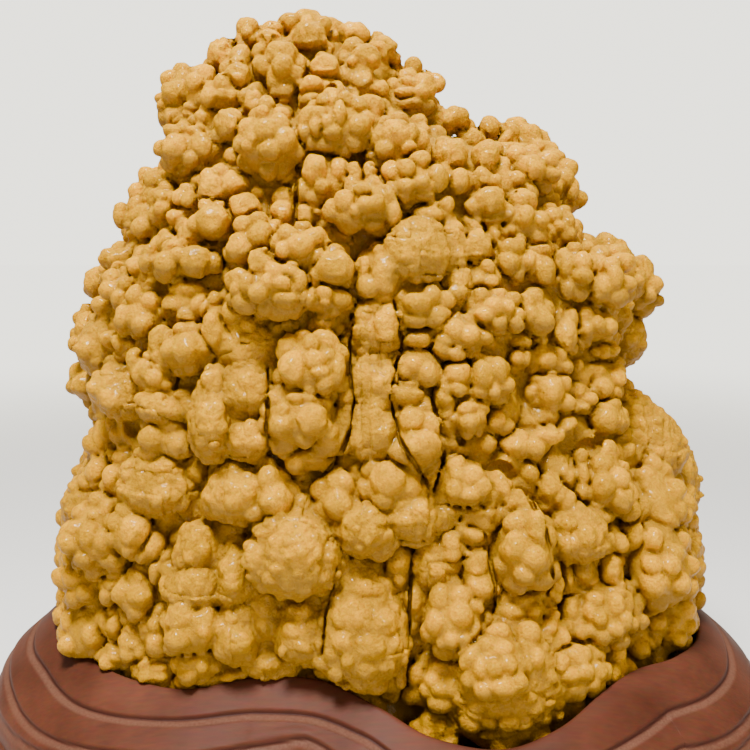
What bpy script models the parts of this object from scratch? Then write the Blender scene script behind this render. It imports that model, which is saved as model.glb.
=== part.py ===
"""A stalactite specimen: one grown mass of honey calcite, resting in a carved wooden stand.

The stone is a core with rounded heads of cave popcorn grown all over it, fused into one solid.
The stand is a low wooden block with a recess cut to the stone's foot and carved waves round it.

World frame: metres, +Z up, -Y towards the viewer, origin in the middle of the stand's underside.
The heads that can be seen from the front were placed by eye. Each is given in millimetres on an
upright plane through the middle of the stone, as it looks to an eye in front of that plane.
"""
import math

import bmesh
import bpy
import numpy as np
from mathutils import Euler, Matrix, Vector

# The eye that the front heads were placed from
EYE_DISTANCE = 1.030       # from the eye to the middle of the plane
EYE_PITCH = math.radians(8.0)  # looking down
PLANE_MIDDLE = 375.0       # millimetres from the plane's left edge and from its top edge
PLANE_HEIGHT = 0.359       # the plane's middle above the stand's underside

# The stone
CORE_POWER = 2.3           # 2 would make the core's sections ellipses
CORE_SIDES = 40
CORE_INSET = 0.009         # how far the core lies behind the face that the heads are set on
HEAD_LEAN = math.radians(14.0)  # the heads' tops lean back with the face of the stone
HEAD_DEPTH = (0.015, 0.034)     # least and greatest half-depth of a head
GROWN_STEP = 0.056         # spacing of the heads grown over the sides and the back
GROWN_RADIUS = (0.023, 0.036)
GROWN_SEED = 7
FRONT_LEFT = 78.0          # the columns of the plane between which the front heads were placed
FRONT_RIGHT = 672.0
VOXEL = 0.0085
KEPT_FACES = 0.132         # share of the fused skin's triangles that is kept

# The stand
STAND_STATIONS = 48
RECESS_FLOOR = 0.045
RIM_REFERENCE = 0.118      # the rim height that the carved profile was drawn for
SEAT_GAP = 0.0004          # air between stone and wood, all over the seat
CUTTER_DEPTH = 0.20        # how far the seat's cutter runs on below the stand

# The core: height on the plane, left side, right side, then how far it reaches to the front
# and to the back of the plane, all in millimetres
CORE_LEVELS = [
    (36, 290, 325, 10, 12),
    (52, 244, 368, 30, 30),
    (80, 222, 376, 48, 50),
    (105, 186, 414, 64, 68),
    (135, 182, 448, 80, 88),
    (170, 174, 540, 96, 108),
    (210, 148, 556, 110, 128),
    (240, 136, 574, 118, 138),
    (275, 112, 628, 126, 148),
    (310, 100, 620, 134, 156),
    (370, 98, 604, 145, 164),
    (430, 108, 640, 154, 168),
    (490, 86, 668, 162, 168),
    (550, 74, 682, 168, 166),
    (610, 76, 680, 168, 158),
    (650, 86, 664, 164, 146),
    (690, 112, 640, 156, 126),
]

# The stone's outline seen from the front: height, left edge, right edge
OUTLINE = [
    (16, 298, 318), (30, 250, 355), (45, 212, 388), (60, 205, 394), (90, 163, 434), (120, 166, 466),
    (140, 163, 512), (160, 150, 562), (190, 130, 577), (215, 118, 575), (235, 130, 590),
    (260, 104, 648), (290, 86, 655), (315, 80, 648), (340, 74, 640), (370, 76, 624), (400, 84, 630),
    (430, 92, 664), (460, 72, 686), (500, 60, 700), (540, 54, 706), (600, 54, 702), (640, 60, 694),
    (700, 80, 670),
]

# Heads seen from the front: across, down, half-width, half-height, tilt in degrees (positive
# leans the top to the right), and how far the head stands out from the core's face (negative
# sets it back), all in millimetres on the plane
HEADS = [
    # the crown
    (308, 38, 22, 22, 0, 4), (249, 38, 16, 14, 0, -8), (222, 58, 17, 16, 0, -4),
    (238, 80, 13, 14, 0, 0), (270, 46, 14, 14, 0, 0), (284, 76, 20, 26, 0, 8),
    (325, 70, 14, 15, 0, 4), (353, 40, 16, 13, 0, -4), (357, 73, 19, 20, 0, 4),
    (377, 55, 17, 18, 0, -8), (311, 97, 16, 16, 0, 5), (336, 126, 33, 31, 0, 14),
    (269, 141, 30, 36, 0, 10), (184, 100, 22, 32, -5, -4), (220, 99, 20, 17, 0, 0),
    (232, 126, 17, 15, 0, 0), (256, 104, 16, 15, 0, -6), (190, 149, 30, 23, 0, 4),
    # the left shoulder
    (222, 187, 22, 17, 0, 2), (190, 200, 13, 13, 0, -2), (247, 208, 18, 14, 0, 0),
    (283, 213, 13, 17, 0, -4), (156, 191, 24, 19, 0, 0), (145, 217, 23, 14, 0, -4),
    (213, 223, 20, 20, 0, 8), (168, 246, 13, 13, 0, -4), (186, 263, 40, 17, 0, 6),
    (122, 260, 18, 14, 0, -4), (98, 283, 14, 16, 0, -8), (127, 290, 18, 20, 0, -2),
    (145, 312, 22, 26, 0, -2), (89, 332, 14, 24, 0, -10), (100, 350, 18, 20, 0, -6),
    (90, 378, 17, 22, 0, -12), (192, 300, 24, 26, 0, -8),
    # the big cluster left of the middle, and the faces beside it
    (256, 240, 24, 26, 0, 14), (298, 250, 28, 24, 0, 18), (333, 268, 21, 19, 0, 20),
    (274, 287, 38, 30, 0, 20), (321, 297, 24, 17, 0, 16), (245, 315, 20, 17, 0, 2),
    (325, 322, 20, 15, 0, 0), (365, 205, 33, 26, 0, 12), (325, 182, 25, 28, 0, 2),
    (315, 212, 19, 18, 0, -4), (396, 145, 26, 26, 0, 10), (410, 182, 29, 28, 0, 10),
    (405, 100, 29, 17, 0, -4), (427, 88, 13, 13, 0, -12), (395, 78, 13, 12, 0, -12),
    # the right shoulder
    (440, 124, 22, 15, 0, 0), (451, 156, 17, 17, 0, 2), (452, 183, 20, 15, 0, 2),
    (470, 140, 15, 12, 0, -6), (489, 131, 12, 11, 0, -12), (507, 143, 14, 14, 0, -12),
    (486, 160, 15, 16, 0, -2), (484, 182, 17, 13, 0, 0), (489, 206, 23, 17, 0, 4),
    (528, 170, 26, 20, 0, -2), (552, 182, 23, 26, 0, -6), (566, 200, 14, 18, 0, -8),
    (520, 222, 24, 24, 0, 2), (551, 228, 22, 20, 0, -6), (513, 258, 17, 20, 0, 4),
    (538, 268, 18, 20, 0, -2), (477, 247, 17, 17, 0, 0), (483, 274, 16, 15, 0, 0),
    (457, 287, 14, 18, 0, -2), (432, 213, 23, 15, 0, 6), (417, 250, 29, 30, 0, 14),
    (451, 246, 11, 25, 0, 4),
    # the right arm
    (573, 273, 22, 25, 0, 0), (602, 280, 25, 28, 0, 2), (635, 285, 20, 27, 0, -6),
    (590, 325, 21, 17, 0, 2), (621, 334, 21, 19, 0, -6), (562, 330, 16, 26, 0, -8),
    # the middle
    (378, 275, 26, 29, 0, 4), (530, 312, 20, 20, 0, 4), (492, 312, 29, 21, 0, 6),
    (418, 305, 30, 24, 0, 6), (418, 338, 22, 15, 0, 2), (460, 335, 26, 20, 0, 8),
    (450, 350, 22, 13, 0, 8), (377, 325, 24, 27, 0, 2), (377, 372, 24, 28, 0, -2),
    (376, 420, 23, 44, 0, -2), (418, 368, 24, 22, 0, 6), (410, 396, 19, 18, 0, 8),
    (414, 428, 24, 42, -4, 6), (456, 378, 19, 21, 0, 8), (486, 377, 23, 25, 0, 8),
    (444, 400, 15, 20, 0, 6), (467, 414, 18, 20, 0, 10), (448, 424, 13, 13, 0, 2),
    (495, 420, 14, 14, 0, -4), (508, 408, 14, 20, 0, -10), (516, 358, 15, 13, 0, -2),
    (512, 338, 18, 14, 0, -6), (545, 358, 20, 18, 0, -2), (545, 392, 21, 24, 0, -2),
    (540, 414, 20, 14, 0, -4), (524, 442, 28, 17, 0, -6), (596, 380, 23, 24, 0, 2),
    (604, 418, 18, 18, 0, 2), (578, 397, 16, 20, 0, -4), (593, 352, 24, 12, 0, -8),
    # the broken face on the right edge
    (640, 438, 34, 46, -22, -14), (664, 470, 30, 44, 0, -14),
    # the left side below the shoulder
    (188, 349, 25, 22, 0, 8), (162, 348, 15, 17, 0, 6), (158, 375, 20, 20, 0, 4),
    (122, 395, 30, 18, 28, 4), (166, 408, 25, 14, 12, 4), (190, 402, 15, 20, 0, -4),
    (172, 436, 32, 21, 0, -2), (107, 440, 16, 25, 0, -2), (214, 412, 18, 46, 0, 6),
    (246, 388, 22, 25, 0, 8), (247, 435, 21, 21, 0, 8), (250, 345, 34, 24, 0, -10),
    (217, 325, 15, 28, 0, -2), (312, 366, 33, 32, 0, 12), (300, 412, 34, 36, 0, 10),
    (327, 432, 20, 26, 0, 8), (310, 458, 26, 14, 0, 4), (347, 408, 9, 30, 0, 0),
    # below the middle
    (238, 493, 30, 26, 0, 6), (268, 492, 25, 27, 0, 10), (163, 480, 38, 34, 0, -8),
    (125, 478, 18, 26, 0, -2), (105, 470, 14, 24, 0, -2), (295, 552, 44, 42, 0, 14),
    (303, 512, 20, 24, 0, -4), (339, 495, 21, 26, 0, 8), (366, 527, 28, 25, 0, 12),
    (389, 482, 27, 27, 0, 10), (412, 512, 26, 28, 30, 6), (398, 562, 16, 21, 0, -4),
    (360, 620, 42, 62, 0, 8), (374, 672, 23, 22, 0, 14), (304, 624, 25, 37, 0, 6),
    (267, 605, 17, 32, 0, -4), (272, 655, 26, 22, 0, -6),
    # the left foot
    (106, 530, 32, 40, 20, 10), (132, 527, 21, 30, 0, 8), (112, 562, 24, 16, 25, 6),
    (155, 545, 17, 19, 20, 0), (168, 562, 14, 17, 0, 0), (118, 582, 18, 18, 30, 2),
    (138, 592, 19, 22, 0, 4), (88, 608, 21, 26, 0, 0), (117, 622, 16, 18, 0, 0),
    (139, 640, 18, 18, 0, 2), (160, 622, 15, 30, 0, -4), (122, 655, 26, 15, 0, 0),
    (157, 668, 22, 20, 0, 2), (94, 642, 22, 14, -25, -6), (198, 548, 19, 24, 0, 4),
    (196, 584, 27, 21, 0, 6), (238, 570, 18, 32, 0, 2), (192, 625, 28, 27, 0, 14),
    (200, 660, 21, 20, 0, 10), (238, 628, 19, 32, 0, 6), (192, 680, 20, 14, 0, -2),
    (228, 672, 26, 18, 0, -4),
    # the right foot
    (464, 485, 28, 23, 0, 6), (486, 490, 22, 20, 0, 4), (502, 486, 15, 14, 0, 0),
    (478, 514, 24, 17, 0, 4), (450, 510, 15, 15, 0, 4), (440, 507, 10, 22, 0, 0),
    (452, 542, 15, 18, 0, 4), (469, 532, 21, 15, 0, 4), (452, 560, 15, 15, 0, 2),
    (434, 560, 17, 24, 0, 2), (477, 572, 17, 32, 0, 4), (452, 612, 29, 38, 0, 12),
    (420, 600, 16, 28, 0, 0), (516, 507, 17, 18, 0, 10), (524, 540, 27, 46, 0, 14),
    (526, 576, 14, 14, 0, 12), (546, 588, 17, 18, 0, 4), (518, 606, 26, 19, 0, 6),
    (548, 487, 15, 22, 0, -4), (562, 502, 15, 15, 0, -2), (566, 475, 14, 16, 0, -6),
    (581, 478, 14, 24, 0, -4), (602, 480, 24, 32, 0, 2), (620, 500, 16, 19, 0, 2),
    (596, 510, 14, 16, 0, 2), (638, 500, 16, 26, 15, -2), (632, 535, 15, 18, 0, 4),
    (575, 533, 27, 25, 0, 6), (607, 540, 15, 14, 0, 2), (608, 568, 15, 21, 0, 4),
    (582, 570, 17, 18, 0, 2), (568, 572, 14, 24, 0, -4), (598, 610, 33, 32, 0, 6),
    (625, 602, 16, 26, 0, 2), (574, 616, 19, 28, 0, 4), (640, 566, 26, 22, 0, -8),
    (656, 582, 16, 24, 0, -10), (656, 516, 17, 26, 0, -12), (650, 612, 22, 30, 0, -14),
    (444, 680, 27, 28, 0, 10), (424, 678, 15, 28, 0, 4), (440, 722, 24, 22, 0, 14),
    (457, 710, 16, 24, 0, 10), (495, 665, 30, 34, 0, 18), (500, 692, 30, 18, 0, 20),
    (526, 656, 17, 28, 0, 16), (505, 724, 38, 26, 0, 30), (482, 708, 24, 20, 0, 18),
    (535, 712, 24, 22, 0, 20), (562, 665, 40, 28, 0, 16), (546, 630, 18, 20, 0, 12),
    (562, 706, 32, 20, 0, 14), (612, 668, 16, 26, 0, 12), (594, 682, 22, 17, 0, 8),
    (644, 640, 22, 22, 0, -20),
]

# Swellings of the core that carry a group of heads: as HEADS, then the half-depth
SWELLINGS = [
    (500, 668, 78, 84, 0, -4, 76), (474, 560, 50, 70, 0, -8, 30), (628, 286, 24, 26, 0, -30, 46),
    (180, 625, 70, 60, 0, -14, 30), (362, 600, 44, 76, 0, -10, 34),
]

# The recess's edge, counter-clockwise seen from above: x, y, the rim's height, then the width
# of the first carved band and of the second
RIM = [
    (-0.318, 0.020, 0.122, 0.026, 0.020), (-0.309, -0.040, 0.120, 0.028, 0.020),
    (-0.287, -0.080, 0.116, 0.030, 0.022), (-0.240, -0.134, 0.108, 0.030, 0.021),
    (-0.170, -0.166, 0.105, 0.024, 0.021), (-0.100, -0.166, 0.116, 0.026, 0.016),
    (-0.045, -0.176, 0.117, 0.024, 0.013), (0.004, -0.204, 0.106, 0.023, 0.016),
    (0.047, -0.226, 0.091, 0.025, 0.020), (0.103, -0.234, 0.085, 0.026, 0.020),
    (0.152, -0.218, 0.095, 0.028, 0.020), (0.196, -0.182, 0.110, 0.034, 0.018),
    (0.230, -0.154, 0.117, 0.036, 0.018), (0.270, -0.134, 0.120, 0.032, 0.020),
    (0.304, -0.092, 0.122, 0.028, 0.022), (0.320, -0.020, 0.124, 0.026, 0.020),
    (0.310, 0.062, 0.124, 0.026, 0.018), (0.258, 0.132, 0.123, 0.028, 0.018),
    (0.155, 0.168, 0.121, 0.028, 0.020), (0.020, 0.178, 0.124, 0.026, 0.018),
    (-0.125, 0.170, 0.121, 0.028, 0.018), (-0.236, 0.132, 0.123, 0.028, 0.020),
    (-0.296, 0.080, 0.122, 0.026, 0.020),
]


# Sight lines and the core
def sight_line(across, down):
    """Start and step of the line from the eye through a point of the plane, in metres."""
    right = (across - PLANE_MIDDLE) / 1000.0
    up = (PLANE_MIDDLE - down) / 1000.0
    eye = np.array([0.0, -EYE_DISTANCE * math.cos(EYE_PITCH),
                    PLANE_HEIGHT + EYE_DISTANCE * math.sin(EYE_PITCH)])
    step = np.array([right,
                     EYE_DISTANCE * math.cos(EYE_PITCH) + up * math.sin(EYE_PITCH),
                     -EYE_DISTANCE * math.sin(EYE_PITCH) + up * math.cos(EYE_PITCH)])
    return eye, step


def seen_at(across, down, toward):
    """The point of a sight line that is `toward` metres in front of the plane, and its scale."""
    eye, step = sight_line(across, down)
    reach = (-toward - eye[1]) / step[1]
    return eye + reach * step, reach


def core_levels():
    """The core's levels in metres: height, left, right, front reach, back reach, bottom first."""
    levels = []
    for down, left, right, front, back in reversed(CORE_LEVELS):
        low_left, _ = seen_at(left, down, 0.0)
        low_right, _ = seen_at(right, down, 0.0)
        levels.append((low_left[2], low_left[0], low_right[0], front / 1000.0, back / 1000.0))
    return np.array(levels)


LEVELS = core_levels()


def core_ratio(points):
    """Below 1 inside the core: the distance from its axis over that to its side, as a power sum."""
    height = points[..., 2]
    left, right, front, back = (np.interp(height, LEVELS[:, 0], LEVELS[:, i]) for i in (1, 2, 3, 4))
    across = np.abs(points[..., 0] - (left + right) / 2) / ((right - left) / 2)
    deep = np.abs(points[..., 1]) / np.where(points[..., 1] < 0, front, back)
    ratio = (across ** CORE_POWER + deep ** CORE_POWER) ** (1 / CORE_POWER)
    return np.where(height > LEVELS[-1, 0], 2.0, ratio)


def core_face(across, down):
    """How far in front of the plane a sight line meets the core; 0 where it misses it."""
    eye, step = sight_line(across, down)
    toward = np.linspace(0.26, 0.0, 261)
    reach = (-toward - eye[1]) / step[1]
    inside = core_ratio(eye + reach[:, None] * step) < 1.0
    return float(toward[np.argmax(inside)]) if inside.any() else 0.0


# The stone
def add_core(bm):
    """The core: a power-sum section at each level, lofted, with a flat end at top and bottom."""
    angles = np.linspace(0, 2 * math.pi, CORE_SIDES, endpoint=False)
    cosine, sine = np.cos(angles), np.sin(angles)
    swell = (np.abs(cosine) ** CORE_POWER + np.abs(sine) ** CORE_POWER) ** (-1 / CORE_POWER)
    rings = []
    for height, left, right, front, back in LEVELS:
        reach_x = (right - left) / 2 - CORE_INSET
        reach_y = np.where(sine < 0, front, back) - CORE_INSET
        xs = (left + right) / 2 + reach_x * swell * cosine
        ys = np.maximum(reach_y, 0.004) * swell * sine
        rings.append([bm.verts.new((x, y, height)) for x, y in zip(xs, ys)])
    loft(bm, rings)
    bm.faces.new(list(reversed(rings[0])))
    bm.faces.new(rings[-1])


def loft(bm, rings):
    """Quads between each ring and the next, faces outward for rings that run bottom to top."""
    for lower, upper in zip(rings, rings[1:]):
        count = len(lower)
        for i in range(count):
            j = (i + 1) % count
            bm.faces.new((lower[i], lower[j], upper[j], upper[i]))


def add_head(bm, centre, radii, lean, tilt, turn=0.0):
    """One rounded head: a ball of the given half-sizes, leaning back and tilted, then turned."""
    place = (Matrix.Translation(Vector(centre)) @ Matrix.Rotation(turn, 4, "Z")
             @ Euler((-lean, tilt, 0.0)).to_matrix().to_4x4() @ Matrix.Diagonal((*radii, 1.0)))
    bmesh.ops.create_icosphere(bm, subdivisions=2, radius=1.0, matrix=place)


def add_front_heads(bm):
    """The heads seen from the front, each on the core where its sight line meets it."""
    for across, down, half_width, half_height, tilt, proud, *half_depth in HEADS + SWELLINGS:
        centre, scale = seen_at(across, down, core_face(across, down) + proud / 1000.0)
        wide, tall = half_width * scale / 1000.0, half_height * scale / 1000.0
        deep = min(max((wide + tall) / 2, HEAD_DEPTH[0]), HEAD_DEPTH[1])
        if half_depth:
            deep = half_depth[0] / 1000.0
        add_head(bm, centre, (wide, deep, tall), HEAD_LEAN, math.radians(tilt))


def grown_heads():
    """Heads over the sides and the back: staggered rows round the core, from a quarter turn in
    front of one side to a quarter turn in front of the other. In front of the sides they are kept
    only past the columns that the front heads cover, and behind them only inside the outline."""
    rng = np.random.default_rng(GROWN_SEED)
    rows = np.arange(LEVELS[0, 0] + 0.02, LEVELS[-1, 0] + 0.01, GROWN_STEP * 0.92)
    heads = []
    for row, height in enumerate(rows):
        left, right, front, back = (np.interp(height, LEVELS[:, 0], LEVELS[:, i]) for i in (1, 2, 3, 4))
        half, middle = (right - left) / 2, (left + right) / 2
        count = max(6, round(math.pi * (half + back) / GROWN_STEP))
        for i in range(count):
            angle = 1.5 * math.pi * (i + 0.5 * (row % 2)) / (0.75 * count) - 0.25 * math.pi
            angle += rng.uniform(-0.06, 0.06)
            radius = rng.uniform(*GROWN_RADIUS)
            tall = radius * rng.uniform(1.0, 1.45)
            lift = rng.uniform(-0.004, 0.008)
            z = height + rng.uniform(-0.010, 0.010)
            if angle > 1.25 * math.pi:
                continue
            swell = (abs(math.cos(angle)) ** CORE_POWER
                     + abs(math.sin(angle)) ** CORE_POWER) ** (-1 / CORE_POWER)
            x = middle + (half * swell + lift) * math.cos(angle)
            y = ((back if angle % (2 * math.pi) < math.pi else front) * swell + lift) * math.sin(angle)
            across, left_most, right_most, scale = from_the_front(x, y, z)
            wide = 1000.0 * radius * scale
            behind = 0.12 < angle < math.pi - 0.12
            if not behind and FRONT_LEFT < across - wide * 0.6 and across + wide * 0.6 < FRONT_RIGHT:
                continue
            shift = min(max(across, left_most + wide + 4), right_most - wide - 4) - across
            heads.append(((x + shift / scale / 1000.0, y, z), (radius, radius * 0.85, tall),
                          angle + math.pi / 2))
    return heads


def from_the_front(x, y, z):
    """Where a point appears across the plane, the outline's sides at its height, and its scale."""
    eye, _ = sight_line(PLANE_MIDDLE, PLANE_MIDDLE)
    forward = np.array([0.0, math.cos(EYE_PITCH), -math.sin(EYE_PITCH)])
    upward = np.array([0.0, math.sin(EYE_PITCH), math.cos(EYE_PITCH)])
    offset = np.array([x, y, z]) - eye
    scale = EYE_DISTANCE / float(offset @ forward)
    down = PLANE_MIDDLE - 1000.0 * float(offset @ upward) * scale
    outline = np.array(OUTLINE)
    left, right = (np.interp(down, outline[:, 0], outline[:, i]) for i in (1, 2))
    return PLANE_MIDDLE + 1000.0 * x * scale, left, right, scale


def make_stone(collection, cutter):
    """Core and heads fused by a voxel skin, thinned, then cut to the stand's recess."""
    bm = bmesh.new()
    add_core(bm)
    add_front_heads(bm)
    for centre, radii, turn in grown_heads():
        add_head(bm, centre, radii, HEAD_LEAN, 0.0, turn)
    stone = new_object("stone", bm, collection, calcite())
    fuse = stone.modifiers.new("fuse", "REMESH")
    fuse.mode = "VOXEL"
    fuse.voxel_size = VOXEL
    thin = stone.modifiers.new("thin", "DECIMATE")
    thin.ratio = KEPT_FACES
    thin.use_collapse_triangulate = True
    seat = stone.modifiers.new("seat", "BOOLEAN")
    seat.operation = "DIFFERENCE"
    seat.object = cutter
    return stone


# The stand
def rim_stations():
    """The rim's points on a smooth closed curve (Catmull-Rom), with the outward normal of each."""
    marks = np.array(RIM)
    count = len(marks)
    place = np.linspace(0, count, STAND_STATIONS, endpoint=False)
    whole = place.astype(int)
    part = (place - whole)[:, None]
    before, here, after, beyond = (marks[(whole + k) % count] for k in (-1, 0, 1, 2))
    smooth = 0.5 * (2 * here + (after - before) * part
                    + (2 * before - 5 * here + 4 * after - beyond) * part ** 2
                    + (3 * here - before - 3 * after + beyond) * part ** 3)
    ahead = np.roll(smooth, -1, axis=0) - np.roll(smooth, 1, axis=0)
    normal = np.stack([ahead[:, 1], -ahead[:, 0]], axis=1)
    normal /= np.linalg.norm(normal, axis=1)[:, None]
    return smooth, normal


def carved_profile(first, second):
    """The stand's outer face from the rim outwards, as (out, drop) pairs: a rounded rim, two
    carved bands with a groove under each, a third band, a lip and the plain foot."""
    one, two = first, first + 0.004 + second
    return [
        (0.000, 0.0000), (0.003, -0.0015), (one * 0.5, 0.0060), (one, one * 0.66),
        (one + 0.002, one * 0.66 + 0.0050), (one + 0.005, one * 0.66 + 0.0035),
        (one + second * 0.55, one * 0.66 + second * 0.42), (two, one * 0.66 + second * 1.05),
        (two + 0.001, one * 0.66 + second * 1.05 + 0.0050),
        (two + 0.005, one * 0.66 + second * 1.05 + 0.0040),
        (two + 0.014, 0.0600), (two + 0.019, 0.0760), (two + 0.018, 0.0820), (two + 0.021, 0.0840),
        (two + 0.024, 0.0940), (two + 0.022, 0.1080),
    ]


def make_stand_mesh(ease=0.0, underside=0.0):
    """The stand as one lofted skin; `ease` grows it by that much on the faces the stone meets,
    and `underside` is the height of its flat foot."""
    stations, normals = rim_stations()
    centre = stations[:, :2].mean(axis=0)
    columns = []
    for (x, y, rim, first, second), (nx, ny) in zip(stations, normals):
        scale = rim / RIM_REFERENCE
        inner = [(-0.006 - ease, RECESS_FLOOR + ease), (-0.002 - ease, rim - 0.004 + ease)]
        outer = [(out, rim - drop * scale + ease) for out, drop in carved_profile(first, second)]
        foot = [(outer[-1][0] - 0.002, underside)]
        columns.append([(x + nx * out, y + ny * out, height) for out, height in inner + outer + foot])
    bm = bmesh.new()
    rings = [[bm.verts.new(column[k]) for column in columns] for k in range(len(columns[0]))]
    loft(bm, list(reversed(rings)))
    for ring, height, turned in ((rings[0], RECESS_FLOOR + ease, False), (rings[-1], underside, True)):
        hub = bm.verts.new((centre[0], centre[1], height))
        for i in range(len(ring)):
            j = (i + 1) % len(ring)
            bm.faces.new((hub, ring[j], ring[i]) if turned else (hub, ring[i], ring[j]))
    return bm


def make_stand(collection):
    """The carved wooden stand."""
    return new_object("stand", make_stand_mesh(), collection, wood())


def make_seat_cutter(collection):
    """The stand grown by the seat gap and run on downwards, which cuts the stone's foot to fit."""
    cutter = new_object("seat_cutter", make_stand_mesh(SEAT_GAP, -CUTTER_DEPTH), collection, None)
    cutter.hide_render = True
    cutter.display_type = "WIRE"
    return cutter


# Objects and materials
def new_object(name, bm, collection, material):
    """A mesh object from a bmesh, shaded smooth up to 40 degrees."""
    bmesh.ops.recalc_face_normals(bm, faces=bm.faces)
    mesh = bpy.data.meshes.new(name)
    bm.to_mesh(mesh)
    bm.free()
    mesh.shade_smooth()
    mesh.set_sharp_from_angle(angle=math.radians(40.0))
    if material is not None:
        mesh.materials.append(material)
    made = bpy.data.objects.new(name, mesh)
    collection.objects.link(made)
    return made


def principled(name, colour, roughness):
    """A plain Principled material."""
    material = bpy.data.materials.new(name)
    material.use_nodes = True
    shader = material.node_tree.nodes["Principled BSDF"]
    shader.inputs["Base Color"].default_value = (*colour, 1.0)
    shader.inputs["Roughness"].default_value = roughness
    shader.inputs["Metallic"].default_value = 0.0
    return material


def calcite():
    """Honey-yellow calcite with a wet-looking skin."""
    return principled("calcite", (0.62, 0.36, 0.09), 0.45)


def wood():
    """Varnished reddish-brown hardwood."""
    return principled("wood", (0.20, 0.075, 0.045), 0.35)


def new_collection(name):
    """An empty collection in the scene."""
    collection = bpy.data.collections.new(name)
    bpy.context.scene.collection.children.link(collection)
    return collection


for old in list(bpy.data.objects):
    bpy.data.objects.remove(old)
specimen = new_collection("stalactite_specimen")
cutters = new_collection("cutters")
make_stone(specimen, make_seat_cutter(cutters))
make_stand(specimen)
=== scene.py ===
"""A stalactite specimen: honey-yellow cave-popcorn calcite, resting in a carved wooden stand.

Metres, +Z up, -Y towards the viewer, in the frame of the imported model.
"""
import math

import bpy
import numpy as np
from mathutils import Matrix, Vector


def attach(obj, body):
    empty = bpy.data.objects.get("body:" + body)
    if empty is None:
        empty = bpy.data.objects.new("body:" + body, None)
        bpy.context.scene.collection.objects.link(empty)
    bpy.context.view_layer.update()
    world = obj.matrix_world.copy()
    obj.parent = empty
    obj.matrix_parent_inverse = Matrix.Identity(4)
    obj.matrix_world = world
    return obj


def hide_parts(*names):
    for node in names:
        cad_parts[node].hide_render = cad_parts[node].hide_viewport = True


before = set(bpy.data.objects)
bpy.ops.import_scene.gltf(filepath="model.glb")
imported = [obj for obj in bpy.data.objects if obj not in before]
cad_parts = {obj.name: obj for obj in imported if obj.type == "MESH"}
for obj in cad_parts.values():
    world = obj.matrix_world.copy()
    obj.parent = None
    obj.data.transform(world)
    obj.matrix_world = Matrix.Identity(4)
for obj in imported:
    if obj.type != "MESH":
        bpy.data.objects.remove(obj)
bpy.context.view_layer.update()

# The eye
# The camera stands where the photographer's eye was: 1.03 m in front of an upright plane through
# the middle of the stone, looking 8 degrees down. Places on the stone's face are given on that
# plane, in millimetres from its left edge and from its top edge.
EYE_DISTANCE = 1.030
EYE_PITCH = math.radians(8.0)
PLANE_MIDDLE = 375.0
PLANE_HEIGHT = 0.359
PLANE_SIDE = 0.750
SENSOR_WIDTH = 36.0

EYE = np.array([0.0, -EYE_DISTANCE * math.cos(EYE_PITCH),
                PLANE_HEIGHT + EYE_DISTANCE * math.sin(EYE_PITCH)])
FORWARD = np.array([0.0, math.cos(EYE_PITCH), -math.sin(EYE_PITCH)])
UPWARD = np.array([0.0, math.sin(EYE_PITCH), math.cos(EYE_PITCH)])
RIGHT = np.array([1.0, 0.0, 0.0])

eye = bpy.data.objects.new("eye", bpy.data.cameras.new("eye"))
bpy.context.scene.collection.objects.link(eye)
eye.location = EYE
eye.rotation_euler = (math.pi / 2 - EYE_PITCH, 0.0, 0.0)
eye.data.sensor_width = SENSOR_WIDTH
eye.data.lens = SENSOR_WIDTH * EYE_DISTANCE / PLANE_SIDE
bpy.context.scene.camera = eye


def sight_steps(across, down):
    """Steps of the lines from the eye through points of the plane: one step reaches the plane."""
    across = (np.asarray(across, float)[..., None] - PLANE_MIDDLE) / 1000.0
    up = (PLANE_MIDDLE - np.asarray(down, float)[..., None]) / 1000.0
    return EYE_DISTANCE * FORWARD + across * RIGHT + up * UPWARD


def seen_at(across, down, toward):
    """Points of sight lines `toward` metres in front of the plane, with each one's scale: the
    share of its size on the plane that a thing there really has."""
    steps = sight_steps(across, down)
    reach = (-np.asarray(toward, float) - EYE[1]) / steps[..., 1]
    return EYE + reach[..., None] * steps, reach


# The stand
# One block of reddish-brown hardwood, hollowed to take the stone's foot. Its outer face is carved
# by hand in wavy bands with a groove under each, and it is stained and varnished.
RECESS_FLOOR = 0.045
RIM_REFERENCE = 0.118
SEAT_GAP = 0.0004
RIM_STATIONS = 720
STAND_STATIONS = 560
FACE_STEPS = (4, 6, 14, 12, 12, 10, 6, 3, 3, 4, 6)  # points from each mark of the profile to the next
# the carved grooves: the profile's mark that each follows, how far it sways to either side of it,
# where the sway starts, and its depth as a share of the deepest
GROOVES = [(3, 0.0015, 0.0, 1.0), (5, 0.0025, 1.3, 0.9), (6, 0.0040, 2.9, 0.7)]
GROOVE_WIDTH = 0.0015   # from the bottom of a groove to its upper edge
CHAMFER_WIDTH = 0.0085  # from the bottom to the lower edge, a flat slope left by the gouge
GROOVE_DEPTH = 0.0026
GROOVE_WAVES = 9        # times that a groove sways on its way round the block
SLANT_START = 0.002     # the lighter lower slope, part wear and part painted light, with the gouge's marks, sets in over this length below a groove
WALL_DROP = 0.004       # the recess's wall ends this far below the rim, where its rounded edge starts
WALL_EDGE = 0.0014      # and its last ring lies this far below the rim
# the wall's rings from its foot upwards: how far out from the rim, and the share of its height
WALL_OUT = (-0.006, -0.0055, -0.0040, -0.0020, -0.0008)
WALL_SHARE = (0.0, 0.15, 0.6, 1.0, 1.0)
UNDERSIDE_INSET = 0.0015  # the underside starts this far in from the foot's edge
# the sockets of a colour mix: its share, its two colours and its result
MIX_SHARE, MIX_FIRST, MIX_SECOND, MIX_RESULT = 0, 6, 7, 2
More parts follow.
